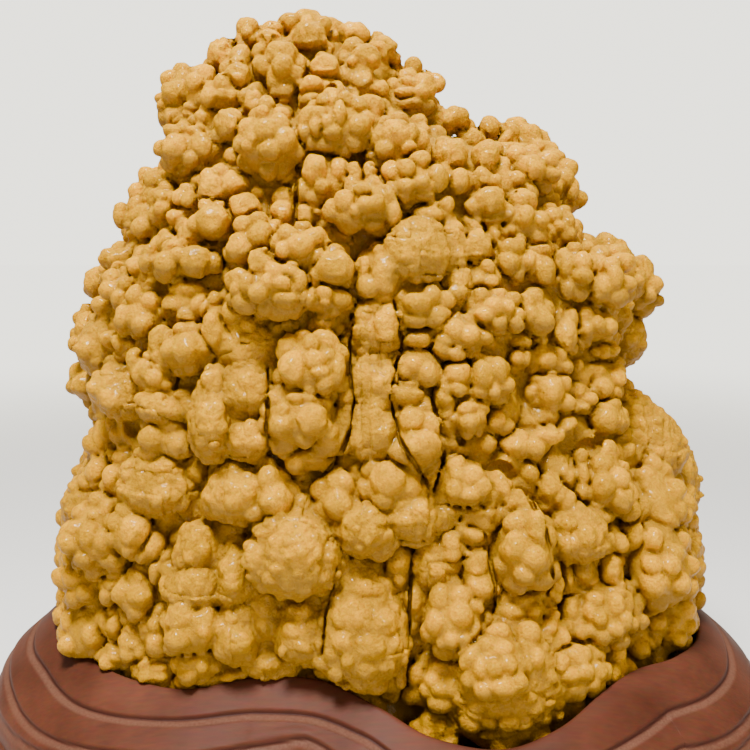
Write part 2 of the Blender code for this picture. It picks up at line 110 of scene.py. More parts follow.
# the recess's edge, counter-clockwise seen from above: x, y, the rim's height, then the width of
# the first carved band and of the second
RIM = [
    (-0.318, 0.020, 0.122, 0.026, 0.020), (-0.309, -0.040, 0.120, 0.028, 0.020),
    (-0.287, -0.080, 0.116, 0.030, 0.022), (-0.240, -0.134, 0.108, 0.030, 0.021),
    (-0.170, -0.166, 0.105, 0.024, 0.021), (-0.100, -0.166, 0.116, 0.026, 0.016),
    (-0.045, -0.176, 0.117, 0.024, 0.013), (0.004, -0.204, 0.106, 0.023, 0.016),
    (0.047, -0.226, 0.091, 0.025, 0.020), (0.103, -0.234, 0.085, 0.026, 0.020),
    (0.152, -0.218, 0.095, 0.028, 0.020), (0.196, -0.182, 0.110, 0.034, 0.018),
    (0.230, -0.154, 0.117, 0.036, 0.018), (0.270, -0.134, 0.120, 0.032, 0.020),
    (0.304, -0.092, 0.122, 0.028, 0.022), (0.320, -0.020, 0.124, 0.026, 0.020),
    (0.310, 0.062, 0.124, 0.026, 0.018), (0.258, 0.132, 0.123, 0.028, 0.018),
    (0.155, 0.168, 0.121, 0.028, 0.020), (0.020, 0.178, 0.124, 0.026, 0.018),
    (-0.125, 0.170, 0.121, 0.028, 0.018), (-0.236, 0.132, 0.123, 0.028, 0.020),
    (-0.296, 0.080, 0.122, 0.026, 0.020),
]


def through_four(before, here, after, beyond, part):
    """Points `part` of the way from one mark to the next on a smooth curve (Catmull-Rom): the
    cubic through both whose slope at each is half the step between that mark's neighbours."""
    return 0.5 * (2 * here + (after - before) * part
                  + (2 * before - 5 * here + 4 * after - beyond) * part ** 2
                  + (3 * here - before - 3 * after + beyond) * part ** 3)


def rim_stations(number):
    """The rim's points on a smooth closed curve through its marks, and the outward direction at
    each point."""
    marks = np.array(RIM)
    count = len(marks)
    place = np.linspace(0, count, number, endpoint=False)
    whole = place.astype(int)
    part = (place - whole)[:, None]
    smooth = through_four(*(marks[(whole + k) % count] for k in (-1, 0, 1, 2)), part)
    ahead = np.roll(smooth, -1, axis=0) - np.roll(smooth, 1, axis=0)
    normal = np.stack([ahead[:, 1], -ahead[:, 0]], axis=1)
    normal /= np.linalg.norm(normal, axis=1)[:, None]
    return smooth, normal


def carved_profile(first, second):
    """The outer face from the rim outwards, as arrays of out and drop, one row per station: the
    rounded rim, the two carved bands, a third band, a lip and the foot."""
    one, two = first, first + 0.004 + second
    low, lower = one * 0.66 + 0.002, one * 0.66 + second * 1.05 + 0.003
    flat = np.zeros_like(one)
    out = [flat, flat + 0.0035, one * 0.5, one + 0.002, one + 0.004 + second * 0.5, two + 0.003,
           two + 0.014, two + 0.0185, two + 0.0185, two + 0.0215, two + 0.0240, two + 0.0225]
    drop = [flat, flat - 0.0006, flat + 0.0060, low, (low + lower) / 2 - 0.001, lower,
            flat + 0.0600, flat + 0.0760, flat + 0.0825, flat + 0.0850, flat + 0.0940, flat + 0.1080]
    return np.stack(out, -1), np.stack(drop, -1)


def through_marks(marks, steps):
    """Points on a smooth curve through the marks of each row, `steps` of them from each mark to
    the next, and the last mark. The marks lie along the second axis."""
    whole = np.repeat(np.arange(len(steps)), steps)
    part = np.concatenate([np.arange(n) / n for n in steps])[:, None]
    top = marks.shape[1] - 1
    smooth = through_four(*(marks[:, np.clip(whole + k, 0, top)] for k in (-1, 0, 1, 2)), part)
    return np.concatenate([smooth, marks[:, -1:]], 1)


def stand_rings():
    """The stand's skin from the middle of the recess's floor over the rim to the middle of its
    underside, as rings of points, with how deep in a groove and how far on a groove's lower
    slope each one is."""
    stations, normals = rim_stations(STAND_STATIONS)
    rim = stations[:, 2]
    outs, drops = carved_profile(stations[:, 3], stations[:, 4])
    face = through_marks(np.stack([outs, drops], -1), FACE_STEPS)
    length = np.concatenate([np.zeros((len(face), 1)),
                             np.cumsum(np.linalg.norm(np.diff(face, axis=1), axis=2), 1)], 1)
    slope = np.gradient(face, axis=1)
    slope /= np.linalg.norm(slope, axis=2)[..., None]
    marks_at = np.cumsum((0,) + FACE_STEPS)
    turn = np.linspace(0, 2 * math.pi, STAND_STATIONS, endpoint=False)[:, None]
    groove, slant, cut = (np.zeros(face.shape[:2]) for _ in range(3))
    for mark, sway, phase, depth in GROOVES:
        at = length[:, marks_at[mark]:marks_at[mark] + 1]
        at = at + sway * np.sin(GROOVE_WAVES * turn + phase)
        away = length - at
        wall = np.exp(-(away / GROOVE_WIDTH) ** 2)
        below = np.clip(1 - away / CHAMFER_WIDTH, 0, 1)
        groove = np.maximum(groove, depth * wall)
        cut = np.maximum(cut, depth * np.where(away < 0, wall, below))
        started = np.clip(away / SLANT_START, 0, 1)
        slant = np.maximum(slant, depth * started * np.clip(4 * below, 0, 1))
    lift = -GROOVE_DEPTH * cut
    out = face[..., 0] + lift * slope[..., 1]
    drop = face[..., 1] - lift * slope[..., 0]
    height = np.maximum(rim[:, None] * (1 - drop / RIM_REFERENCE), 0.0)
    inner_height = RECESS_FLOOR + np.array(WALL_SHARE) * (rim[:, None] - WALL_DROP - RECESS_FLOOR)
    inner_height[:, -1] = rim - WALL_EDGE
    out = np.concatenate([np.tile(WALL_OUT, (len(rim), 1)), out, out[:, -1:] - UNDERSIDE_INSET], 1)
    height = np.concatenate([inner_height, height, np.zeros((len(rim), 1))], 1)
    x = stations[:, :1] + normals[:, :1] * out
    y = stations[:, 1:2] + normals[:, 1:2] * out
    points = np.stack([x, y, height], -1)
    pad = ((0, 0), (len(WALL_OUT), 1))
    return points, np.pad(groove, pad), np.pad(slant, pad)


def closed_rings(points):
    """Points and faces of a skin whose rings are the second axis of `points`, closed round the
    stations and by a fan to a middle point at both ends."""
    stations, rings = points.shape[:2]
    number = np.arange(stations * rings).reshape(stations, rings)
    beside = np.roll(number, -1, axis=0)
    quads = np.stack([number[:, :-1], number[:, 1:], beside[:, 1:], beside[:, :-1]], -1).reshape(-1, 4)
    hub_in, hub_out = points[:, 0].mean(0), points[:, -1].mean(0)
    points = np.vstack([points.reshape(-1, 3), hub_in, hub_out])
    top = np.full(stations, len(points) - 2)
    bottom = np.full(stations, len(points) - 1)
    fans = np.concatenate([np.stack([top, number[:, 0], beside[:, 0]], 1),
                           np.stack([bottom, beside[:, -1], number[:, -1]], 1)])
    return points, quads, fans


class Finish:
    """The nodes of a material or of the sky: each method adds one node and gives its output. What
    is fed to a node is a number, a colour or another node's output."""

    def __init__(self, owner):
        owner.use_nodes = True
        self.owner = owner
        self.nodes = owner.node_tree.nodes
        self.links = owner.node_tree.links

    def feed(self, socket, value):
        if isinstance(value, bpy.types.NodeSocket):
            self.links.new(value, socket)
        elif isinstance(value, tuple) and len(value) < len(socket.default_value):
            socket.default_value = (*value, 1.0)
        else:
            socket.default_value = value

    def feed_all(self, node, inputs):
        for key, value in inputs.items():
            self.feed(node.inputs[key], value)

    def added(self, kind, output, inputs=None, **settings):
        node = self.nodes.new("ShaderNode" + kind)
        for key, value in settings.items():
            setattr(node, key, value)
        self.feed_all(node, inputs or {})
        return node.outputs[output]

    def place(self):
        return self.added("TexCoord", "Object")

    def stretched(self, scales):
        return self.added("Mapping", "Vector", {"Vector": self.place(), "Scale": scales})

    def attribute(self, key):
        return self.added("Attribute", "Fac", attribute_name=key)

    def noise(self, scale, detail, roughness=0.5, place=None, output="Fac"):
        return self.added("TexNoise", output, {"Vector": place or self.place(), "Scale": scale,
                                               "Detail": detail, "Roughness": roughness})

    def maths(self, kind, *values):
        return self.added("Math", "Value", dict(enumerate(values)), operation=kind)

    def ramp(self, value, *stops):
        node = self.nodes.new("ShaderNodeValToRGB")
        while len(node.color_ramp.elements) < len(stops):
            node.color_ramp.elements.new(0.5)
        for element, (position, colour) in zip(node.color_ramp.elements, stops):
            element.position = position
            element.color = (*colour, 1.0)
        self.links.new(value, node.inputs["Fac"])
        return node.outputs["Color"]

    def grey_ramp(self, value, *stops):
        return self.ramp(value, *((position, (grey, grey, grey)) for position, grey in stops))

    def mix(self, share, one, other, kind="MIX"):
        return self.added("Mix", MIX_RESULT, {MIX_SHARE: share, MIX_FIRST: one, MIX_SECOND: other},
                          data_type="RGBA", blend_type=kind)

    def bump(self, height, strength, distance):
        return self.added("Bump", "Normal", {"Height": height, "Strength": strength,
                                             "Distance": distance})


def varnished_wood():
    """Reddish-brown hardwood under a stain and an old satin varnish: painted shade that darkens the
    grooves, a dusty tan on their lower slopes that is partly wear and partly painted light, with the
    gouge's fine upright marks, and fine grain along the block."""
    wood = Finish(bpy.data.materials.new("varnished_wood"))
    along, upright = wood.stretched((9.0, 70.0, 70.0)), wood.stretched((60.0, 60.0, 6.0))
    cloud = wood.noise(14.0, 4.0)
    colour = wood.ramp(cloud, (0.30, (0.052, 0.0145, 0.007)), (0.72, (0.105, 0.032, 0.016)))
    colour = wood.mix(0.35, colour, wood.noise(5.0, 6.0, place=along, output="Color"), "OVERLAY")
    # a lighter tan on each groove's lower slope: partly wear, partly painted light where the slope faces up,
    # streaked by the gouge's upright marks
    worn_and_lit_slope = wood.maths("MULTIPLY", wood.attribute("slant"), wood.noise(8.0, 4.0, place=upright))
    colour = wood.mix(worn_and_lit_slope, colour, (0.150, 0.070, 0.044))
    # painted shade: the grooves darkened nearly to black, as little light gets into them
    painted_groove_shade = wood.maths("MULTIPLY", wood.attribute("groove"), 0.95)
    colour = wood.mix(painted_groove_shade, colour, (0.026, 0.006, 0.004))
    wood.feed_all(wood.nodes["Principled BSDF"], {
        "Base Color": colour,
        "Roughness": wood.grey_ramp(cloud, (0.30, 0.45), (0.75, 0.62)),
        "Specular IOR Level": 0.10,
        "Normal": wood.bump(wood.noise(5.0, 6.0, place=along), 0.25, 0.0006),
    })
    return wood.owner


def new_mesh(name, points, faces, values, material):
    """A smooth-shaded mesh object at the origin, with one number at each point under each key."""
    mesh = bpy.data.meshes.new(name)
    mesh.vertices.add(len(points))
    mesh.vertices.foreach_set("co", points.astype(np.float32).ravel())
    sides = np.concatenate([np.full(len(part), part.shape[1]) for part in faces])
    corners = np.concatenate([part.ravel() for part in faces]).astype(np.int32)
    mesh.loops.add(len(corners))
    mesh.loops.foreach_set("vertex_index", corners)
    mesh.polygons.add(len(sides))
    mesh.polygons.foreach_set("loop_start", (np.cumsum(sides) - sides).astype(np.int32))
    mesh.polygons.foreach_set("use_smooth", np.ones(len(sides), bool))
    mesh.update(calc_edges=True)
    for key, value in values.items():
        mesh.attributes.new(key, "FLOAT", "POINT").data.foreach_set("value", value.astype(np.float32))
    mesh.materials.append(material)
    made = bpy.data.objects.new(name, mesh)
    bpy.context.scene.collection.objects.link(made)
    return made


stand_points, groove, slant = stand_rings()
stand_points, stand_quads, stand_fans = closed_rings(stand_points)
stand = new_mesh("carved_stand", stand_points, [stand_quads, stand_fans],
                 {"groove": np.append(groove.ravel(), [0, 0]), "slant": np.append(slant.ravel(), [0, 0])},
                 varnished_wood())
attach(stand, "root")
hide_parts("stand")


# The stone's core
# The dull mass that the popcorn has grown on, seen only at the bottom of the clefts. It is
# calcite too, and its sections are power-sum ovals between a left and a right side.
CORE_POWER = 2.3
CORE_INSET = 0.006
# height on the plane, left side, right side, reach to the front and to the back, in millimetres
CORE_LEVELS = [
    (36, 290, 325, 10, 12), (52, 244, 368, 30, 30), (80, 222, 376, 48, 50),
    (105, 186, 414, 64, 68), (135, 182, 448, 80, 88), (170, 174, 540, 96, 108),
    (210, 148, 556, 110, 128), (240, 136, 574, 118, 138), (275, 112, 628, 126, 148),
    (310, 100, 620, 134, 156), (370, 98, 604, 145, 164), (430, 108, 640, 154, 168),
    (490, 86, 668, 162, 168), (550, 74, 682, 168, 166), (610, 76, 680, 168, 158),
    (650, 86, 664, 164, 146), (690, 112, 640, 156, 126),
]


def core_levels():
    """The levels in metres, bottom first: height, left, right, front reach, back reach."""
    marks = np.array(CORE_LEVELS[::-1], float)
    left, _ = seen_at(marks[:, 1], marks[:, 0], 0.0)
    right, _ = seen_at(marks[:, 2], marks[:, 0], 0.0)
    return np.column_stack([left[:, 2], left[:, 0], right[:, 0], marks[:, 3] / 1000, marks[:, 4] / 1000])


LEVELS = core_levels()


def level_at(height):
    """The core's left and right sides, and its reach to the front and to the back, at heights."""
    return (np.interp(height, LEVELS[:, 0], LEVELS[:, i]) for i in (1, 2, 3, 4))


def oval_reach(angle):
    """How far out a power-sum oval of half-width 1 lies at angles: (|cos|^p + |sin|^p)^(-1/p)."""
    return (np.abs(np.cos(angle)) ** CORE_POWER
            + np.abs(np.sin(angle)) ** CORE_POWER) ** (-1 / CORE_POWER)


def core_distance(x, y, z):
    """Distance from the core's skin, measured away from its upright axis; negative inside.
    Above the core's top it is at least the height above it."""
    left, right, front, back = level_at(z)
    from_axis = x - (left + right) / 2
    across = np.abs(from_axis) / ((right - left) / 2)
    deep = np.abs(y) / np.where(y < 0, front, back)
    ratio = (across ** CORE_POWER + deep ** CORE_POWER) ** (1 / CORE_POWER) + 1e-6
    level = np.hypot(from_axis, y) * (1 - 1 / ratio)
    level = np.where(ratio < 0.05, -0.05, level)
    return np.maximum(level, z - LEVELS[-1, 0])


# The heads
# Rounded heads of popcorn stand on the core's face, from single knobs to fists of calcite. Those
# seen from the front were placed one by one, and the others grow in staggered rows round the core.
HEAD_LEAN = math.radians(14.0)
HEAD_DEPTH = (0.015, 0.034)
HEAD_TAPER = (0.12, 0.24, 0.36)  # least, for a head as tall as wide, and most
# across, down, half-width, half-height, tilt in degrees, how far it stands out, in millimetres
HEADS = [
    # the crown
    (308, 38, 22, 22, 0, 4), (249, 38, 16, 14, 0, -8), (222, 58, 17, 16, 0, -4),
    (238, 80, 13, 14, 0, 0), (270, 46, 14, 14, 0, 0), (284, 76, 20, 26, 0, 8),
    (325, 70, 14, 15, 0, 4), (353, 40, 16, 13, 0, -4), (357, 73, 19, 20, 0, 4),
    (377, 55, 17, 18, 0, -8), (311, 97, 16, 16, 0, 5), (336, 126, 33, 31, 0, 14),
    (269, 141, 30, 36, 0, 10), (184, 100, 22, 32, -5, -4), (220, 99, 20, 17, 0, 0),
    (232, 126, 17, 15, 0, 0), (256, 104, 16, 15, 0, -6), (190, 149, 30, 23, 0, 4),
    # the left shoulder
    (222, 187, 22, 17, 0, 2), (190, 200, 13, 13, 0, -2), (247, 208, 18, 14, 0, 0),
    (283, 213, 13, 17, 0, -4), (156, 191, 24, 19, 0, 0), (145, 217, 23, 14, 0, -4),
    (213, 223, 20, 20, 0, 8), (168, 246, 13, 13, 0, -4), (186, 263, 40, 17, 0, 6),
    (122, 260, 18, 14, 0, -4), (98, 283, 14, 16, 0, -8), (127, 290, 18, 20, 0, -2),
    (145, 312, 22, 26, 0, -2), (89, 332, 14, 24, 0, -10), (100, 350, 18, 20, 0, -6),
    (90, 378, 17, 22, 0, -12), (192, 300, 24, 26, 0, -8),
    # the big cluster left of the middle, and the faces beside it
    (256, 240, 24, 26, 0, 14), (298, 250, 28, 24, 0, 18), (333, 268, 21, 19, 0, 20),
    (274, 287, 38, 30, 0, 20), (321, 297, 24, 17, 0, 16), (245, 315, 20, 17, 0, 2),
    (325, 322, 20, 15, 0, 0), (365, 205, 33, 26, 0, 12), (325, 182, 25, 28, 0, 2),
    (315, 212, 19, 18, 0, -4), (396, 145, 26, 26, 0, 10), (410, 182, 29, 28, 0, 10),
    (405, 100, 29, 17, 0, -4), (427, 88, 13, 13, 0, -12), (395, 78, 13, 12, 0, -12),
    # the right shoulder
    (440, 124, 22, 15, 0, 0), (451, 156, 17, 17, 0, 2), (452, 183, 20, 15, 0, 2),
    (470, 140, 15, 12, 0, -6), (489, 131, 12, 11, 0, -12), (507, 143, 14, 14, 0, -12),
    (486, 160, 15, 16, 0, -2), (484, 182, 17, 13, 0, 0), (489, 206, 23, 17, 0, 4),
    (528, 170, 26, 20, 0, -2), (552, 182, 23, 26, 0, -6), (566, 200, 14, 18, 0, -8),
    (520, 222, 24, 24, 0, 2), (551, 228, 22, 20, 0, -6), (513, 258, 17, 20, 0, 4),
    (538, 268, 18, 20, 0, -2), (477, 247, 17, 17, 0, 0), (483, 274, 16, 15, 0, 0),
    (457, 287, 14, 18, 0, -2), (432, 213, 23, 15, 0, 6), (417, 250, 29, 30, 0, 14),
    (451, 246, 11, 25, 0, 4),
    # the right arm
    (573, 273, 22, 25, 0, 0), (602, 280, 25, 28, 0, 2), (635, 285, 20, 27, 0, -6),
    (590, 325, 21, 17, 0, 2), (621, 334, 21, 19, 0, -6), (562, 330, 16, 26, 0, -8),
    # the middle
    (378, 275, 26, 29, 0, 4), (530, 312, 20, 20, 0, 4), (492, 312, 29, 21, 0, 6),
    (418, 305, 30, 24, 0, 6), (418, 338, 22, 15, 0, 2), (460, 335, 26, 20, 0, 8),
    (450, 350, 22, 13, 0, 8), (377, 325, 24, 27, 0, 2), (374, 374, 22, 36, 0, -2),
    (374, 416, 22, 44, 0, -2), (418, 368, 24, 22, 0, 6), (410, 396, 19, 18, 0, 8),
    (414, 428, 24, 42, -4, 6), (456, 378, 19, 21, 0, 8), (486, 377, 23, 25, 0, 8),
    (444, 400, 15, 20, 0, 6), (467, 414, 18, 20, 0, 10), (448, 424, 13, 13, 0, 2),
    (495, 420, 14, 14, 0, -4), (508, 408, 14, 20, 0, -10), (516, 358, 15, 13, 0, -2),
    (512, 338, 18, 14, 0, -6), (545, 358, 20, 18, 0, -2), (545, 392, 21, 24, 0, -2),
    (540, 414, 20, 14, 0, -4), (524, 442, 28, 17, 0, -6), (596, 380, 23, 24, 0, 2),
    (604, 418, 18, 18, 0, 2), (578, 397, 16, 20, 0, -4), (593, 352, 24, 12, 0, -8),
    # the broken face on the right edge
    (640, 438, 34, 46, -22, -14), (664, 470, 30, 44, 0, -14),
    # the left side below the shoulder
    (188, 349, 25, 22, 0, 8), (162, 348, 15, 17, 0, 6), (158, 375, 20, 20, 0, 4),
    (122, 395, 30, 18, 28, 4), (166, 408, 25, 14, 12, 4), (190, 402, 15, 20, 0, -4),
    (172, 436, 32, 21, 0, -2), (107, 440, 16, 25, 0, -2), (214, 412, 18, 46, 0, 6),
    (246, 388, 22, 25, 0, 8), (247, 435, 21, 21, 0, 8), (250, 345, 34, 24, 0, -10),
    (217, 325, 15, 28, 0, -2), (312, 366, 33, 32, 0, 12), (300, 412, 34, 36, 0, 10),
    (327, 432, 20, 26, 0, 8), (310, 458, 26, 14, 0, 4), (347, 408, 9, 30, 0, 0),
    # below the middle
    (238, 493, 30, 26, 0, 6), (268, 492, 25, 27, 0, 10), (163, 480, 38, 34, 0, -8),
    (125, 478, 18, 26, 0, -2), (105, 470, 14, 24, 0, -2), (295, 552, 44, 42, 0, 14),
    (303, 512, 20, 24, 0, -4), (339, 495, 21, 26, 0, 8), (366, 527, 28, 25, 0, 12),
    (389, 482, 27, 27, 0, 10), (412, 512, 26, 28, 30, 6), (398, 562, 16, 21, 0, -4),
    (360, 620, 42, 62, 0, 8), (374, 672, 23, 22, 0, 14), (304, 624, 25, 37, 0, 6),
    (267, 605, 17, 32, 0, -4), (272, 655, 26, 22, 0, -6),
    # the left foot
    (106, 530, 32, 40, 20, 10), (132, 527, 21, 30, 0, 8), (112, 562, 24, 16, 25, 6),
    (155, 545, 17, 19, 20, 0), (168, 562, 14, 17, 0, 0), (118, 582, 18, 18, 30, 2),
    (138, 592, 19, 22, 0, 4), (88, 608, 21, 26, 0, 0), (117, 622, 16, 18, 0, 0),
    (139, 640, 18, 18, 0, 2), (160, 622, 15, 30, 0, -4), (122, 655, 26, 15, 0, 0),
    (157, 668, 22, 20, 0, 2), (94, 642, 22, 14, -25, -6), (198, 548, 19, 24, 0, 4),
    (196, 584, 27, 21, 0, 6), (238, 570, 18, 32, 0, 2), (192, 625, 28, 27, 0, 14),
    (200, 660, 21, 20, 0, 10), (238, 628, 19, 32, 0, 6), (192, 680, 20, 14, 0, -2),
    (228, 672, 26, 18, 0, -4),
    # the right foot
    (464, 485, 28, 23, 0, 6), (486, 490, 22, 20, 0, 4), (502, 486, 15, 14, 0, 0),
    (478, 514, 24, 17, 0, 4), (450, 510, 15, 15, 0, 4), (440, 507, 10, 22, 0, 0),
    (452, 542, 15, 18, 0, 4), (469, 532, 21, 15, 0, 4), (452, 560, 15, 15, 0, 2),
    (434, 560, 17, 24, 0, 2), (477, 572, 17, 32, 0, 4), (452, 612, 29, 38, 0, 12),
    (420, 600, 16, 28, 0, 0), (516, 507, 17, 18, 0, 10), (524, 540, 27, 46, 0, 14),
    (526, 576, 14, 14, 0, 12), (546, 588, 17, 18, 0, 4), (518, 606, 26, 19, 0, 6),
    (548, 487, 15, 22, 0, -4), (562, 502, 15, 15, 0, -2), (566, 475, 14, 16, 0, -6),
    (581, 478, 14, 24, 0, -4), (602, 480, 24, 32, 0, 2), (620, 500, 16, 19, 0, 2),
    (596, 510, 14, 16, 0, 2), (638, 500, 16, 26, 15, -2), (632, 535, 15, 18, 0, 4),
    (575, 533, 27, 25, 0, 6), (607, 540, 15, 14, 0, 2), (608, 568, 15, 21, 0, 4),
    (582, 570, 17, 18, 0, 2), (568, 572, 14, 24, 0, -4), (598, 610, 33, 32, 0, 6),
    (625, 602, 16, 26, 0, 2), (574, 616, 19, 28, 0, 4), (640, 566, 26, 22, 0, -8),
    (656, 582, 16, 24, 0, -10), (656, 516, 17, 26, 0, -12), (650, 612, 22, 30, 0, -14),
    (444, 680, 27, 28, 0, 10), (424, 678, 15, 28, 0, 4), (440, 722, 24, 22, 0, 14),
    (457, 710, 16, 24, 0, 10), (495, 665, 30, 34, 0, 18), (500, 692, 30, 18, 0, 20),
    (526, 656, 17, 28, 0, 16), (505, 724, 38, 26, 0, 30), (482, 708, 24, 20, 0, 18),
    (535, 712, 24, 22, 0, 20), (562, 665, 40, 28, 0, 16), (546, 630, 18, 20, 0, 12),
    (562, 706, 32, 20, 0, 14), (612, 668, 16, 26, 0, 12), (594, 682, 22, 17, 0, 8),
    (644, 640, 22, 22, 0, -20),
]
# swellings of the core that carry a group of heads: as HEADS, then the half-depth
SWELLINGS = [
    (500, 668, 78, 84, 0, -4, 76), (474, 560, 50, 70, 0, -8, 30), (628, 286, 24, 26, 0, -30, 46),
    (180, 625, 70, 60, 0, -14, 30), (362, 600, 44, 76, 0, -10, 34),
]
SWELLING_SINK = 0.014  # how far in from its marks a swelling's own skin lies
# heads with a smooth skin: only their few listed beads stand on them
SMOOTH_HEADS = {
    (417, 250), (295, 552), (360, 620), (250, 345), (238, 493), (377, 325), (374, 374), (374, 416),
    (640, 438), (664, 470), (412, 512), (304, 624), (214, 412), (247, 435), (196, 584), (198, 548),
    (238, 570), (575, 533), (163, 480), (303, 512), (267, 605), (272, 655), (246, 388), (366, 527),
    (451, 246), (457, 287), (347, 408), (238, 628), (434, 560), (122, 395), (166, 408), (440, 507),
}
# the rows of heads round the sides and the back
GROWN_STEP = 0.056
GROWN_RADIUS = (0.023, 0.036)
GROWN_SEED = 7
GROWN_BARE = 0.25  # the share of them with a smooth skin
GROWN_ROW = 0.92   # from one row up to the next, in steps
GROWN_TALL = (1.0, 1.45)     # a head's half-height in its half-width
GROWN_DEEP = 0.85            # and its half-depth
GROWN_LIFT = (-0.004, 0.008)  # how far its middle lies out from the core's skin
GROWN_STRAY = (0.06, 0.010)  # how far it strays from its place: radians round, metres up or down
SIDE_TURN = 0.12             # heads farther round than this from the side stand behind
SIDE_CLEAR = 0.6             # the share of a side head's width that clears the front heads' columns
OUTLINE_CLEAR = 4            # how far inside the outline a head ends, in millimetres on the plane
FRONT_LEFT = 78.0
FRONT_RIGHT = 672.0
# the outline of the stone seen from the front: height, left edge, right edge
OUTLINE = [
    (16, 298, 318), (30, 250, 355), (45, 212, 388), (60, 205, 394), (90, 163, 434), (120, 166, 466),
    (140, 163, 512), (160, 150, 562), (190, 130, 577), (215, 118, 575), (235, 130, 590),
    (260, 104, 648), (290, 86, 655), (315, 80, 648), (340, 74, 640), (370, 76, 624), (400, 84, 630),
    (430, 92, 664), (460, 72, 686), (500, 60, 700), (540, 54, 706), (600, 54, 702), (640, 60, 694),
    (700, 80, 670),
]


def turned(lean, tilt, turn):
    """Rotation matrices, one per row: lean about X backwards, tilt about Y, then turn about Z."""
    lean, tilt, turn = np.broadcast_arrays(np.asarray(lean, float), tilt, turn)
    zero, one = np.zeros_like(lean), np.ones_like(lean)
    about_x = np.stack([one, zero, zero, zero, np.cos(lean), np.sin(lean),
                        zero, -np.sin(lean), np.cos(lean)], -1).reshape(-1, 3, 3)
    about_y = np.stack([np.cos(tilt), zero, np.sin(tilt), zero, one, zero,
                        -np.sin(tilt), zero, np.cos(tilt)], -1).reshape(-1, 3, 3)
    about_z = np.stack([np.cos(turn), -np.sin(turn), zero, np.sin(turn), np.cos(turn), zero,
                        zero, zero, one], -1).reshape(-1, 3, 3)
    return about_z @ about_y @ about_x


def ball_reach(points, centres, radii, axes, tapers):
    """How far out each point lies in each ball: 1 on its skin. Balls hang like drops: in a ball's
    own axes and half-sizes its width at height z is 1 - taper * z of a true ball's."""
    own = np.einsum("...hi,hij->...hj", points[..., None, :] - centres, axes) / radii
    width = 1 - tapers * np.clip(own[..., 2], -1, 1)
    return np.sqrt((own[..., 0] ** 2 + own[..., 1] ** 2) / width ** 2 + own[..., 2] ** 2)


def standing_out(marks, deep):
    """How far in front of the core each head stands, in metres: as it is marked, or where half of
    its depth is out of the face of a swelling, if that is farther."""
    toward = marks[:, 5] / 1000
    for swelling in SWELLINGS:
        across, down, wide, tall, _, out, depth = np.array(swelling) / 1000
        wide, tall, depth = wide - SWELLING_SINK, tall - SWELLING_SINK, depth - SWELLING_SINK
        left = 1 - ((marks[:, 0] / 1000 - across) / wide) ** 2 - ((marks[:, 1] / 1000 - down) / tall) ** 2
        face = out + depth * np.sqrt(np.maximum(left, 0))
        toward = np.where(left > 0, np.maximum(toward, face - deep / 2), toward)
    return toward


def front_heads():
    """The front heads and swellings as balls: centre, half-sizes, axes, and which are smooth.
    Each stands where its sight line meets the core, found by stepping along the line in
    millimetres from 260 mm in front of the plane."""
    rows = [row + (0,) for row in HEADS] + SWELLINGS
    marks = np.array(rows, float)
    toward = np.linspace(0.26, 0.0, 261)
    steps = sight_steps(marks[:, 0], marks[:, 1])
    reach = (-toward[None, :] - EYE[1]) / steps[:, 1:2]
    points = EYE + reach[..., None] * steps[:, None, :]
    inside = core_distance(points[..., 0], points[..., 1], points[..., 2]) < 0
    face = np.where(inside.any(1), toward[inside.argmax(1)], 0.0)
    deep = np.clip((marks[:, 2] + marks[:, 3]) / 2000, *HEAD_DEPTH)
    toward = np.where(marks[:, 6] > 0, marks[:, 5] / 1000, standing_out(marks, deep))
    centres, scale = seen_at(marks[:, 0], marks[:, 1], face + toward)
    wide, tall = marks[:, 2] * scale / 1000, marks[:, 3] * scale / 1000
    deep = np.clip((wide + tall) / 2, *HEAD_DEPTH)
    deep = np.where(marks[:, 6] > 0, marks[:, 6] / 1000, deep)
    axes = turned(HEAD_LEAN, np.radians(marks[:, 4]), 0.0)
    smooth = np.array([(int(r[0]), int(r[1])) in SMOOTH_HEADS or r[6] > 0 for r in marks])
    return centres, np.column_stack([wide, deep, tall]), axes, smooth


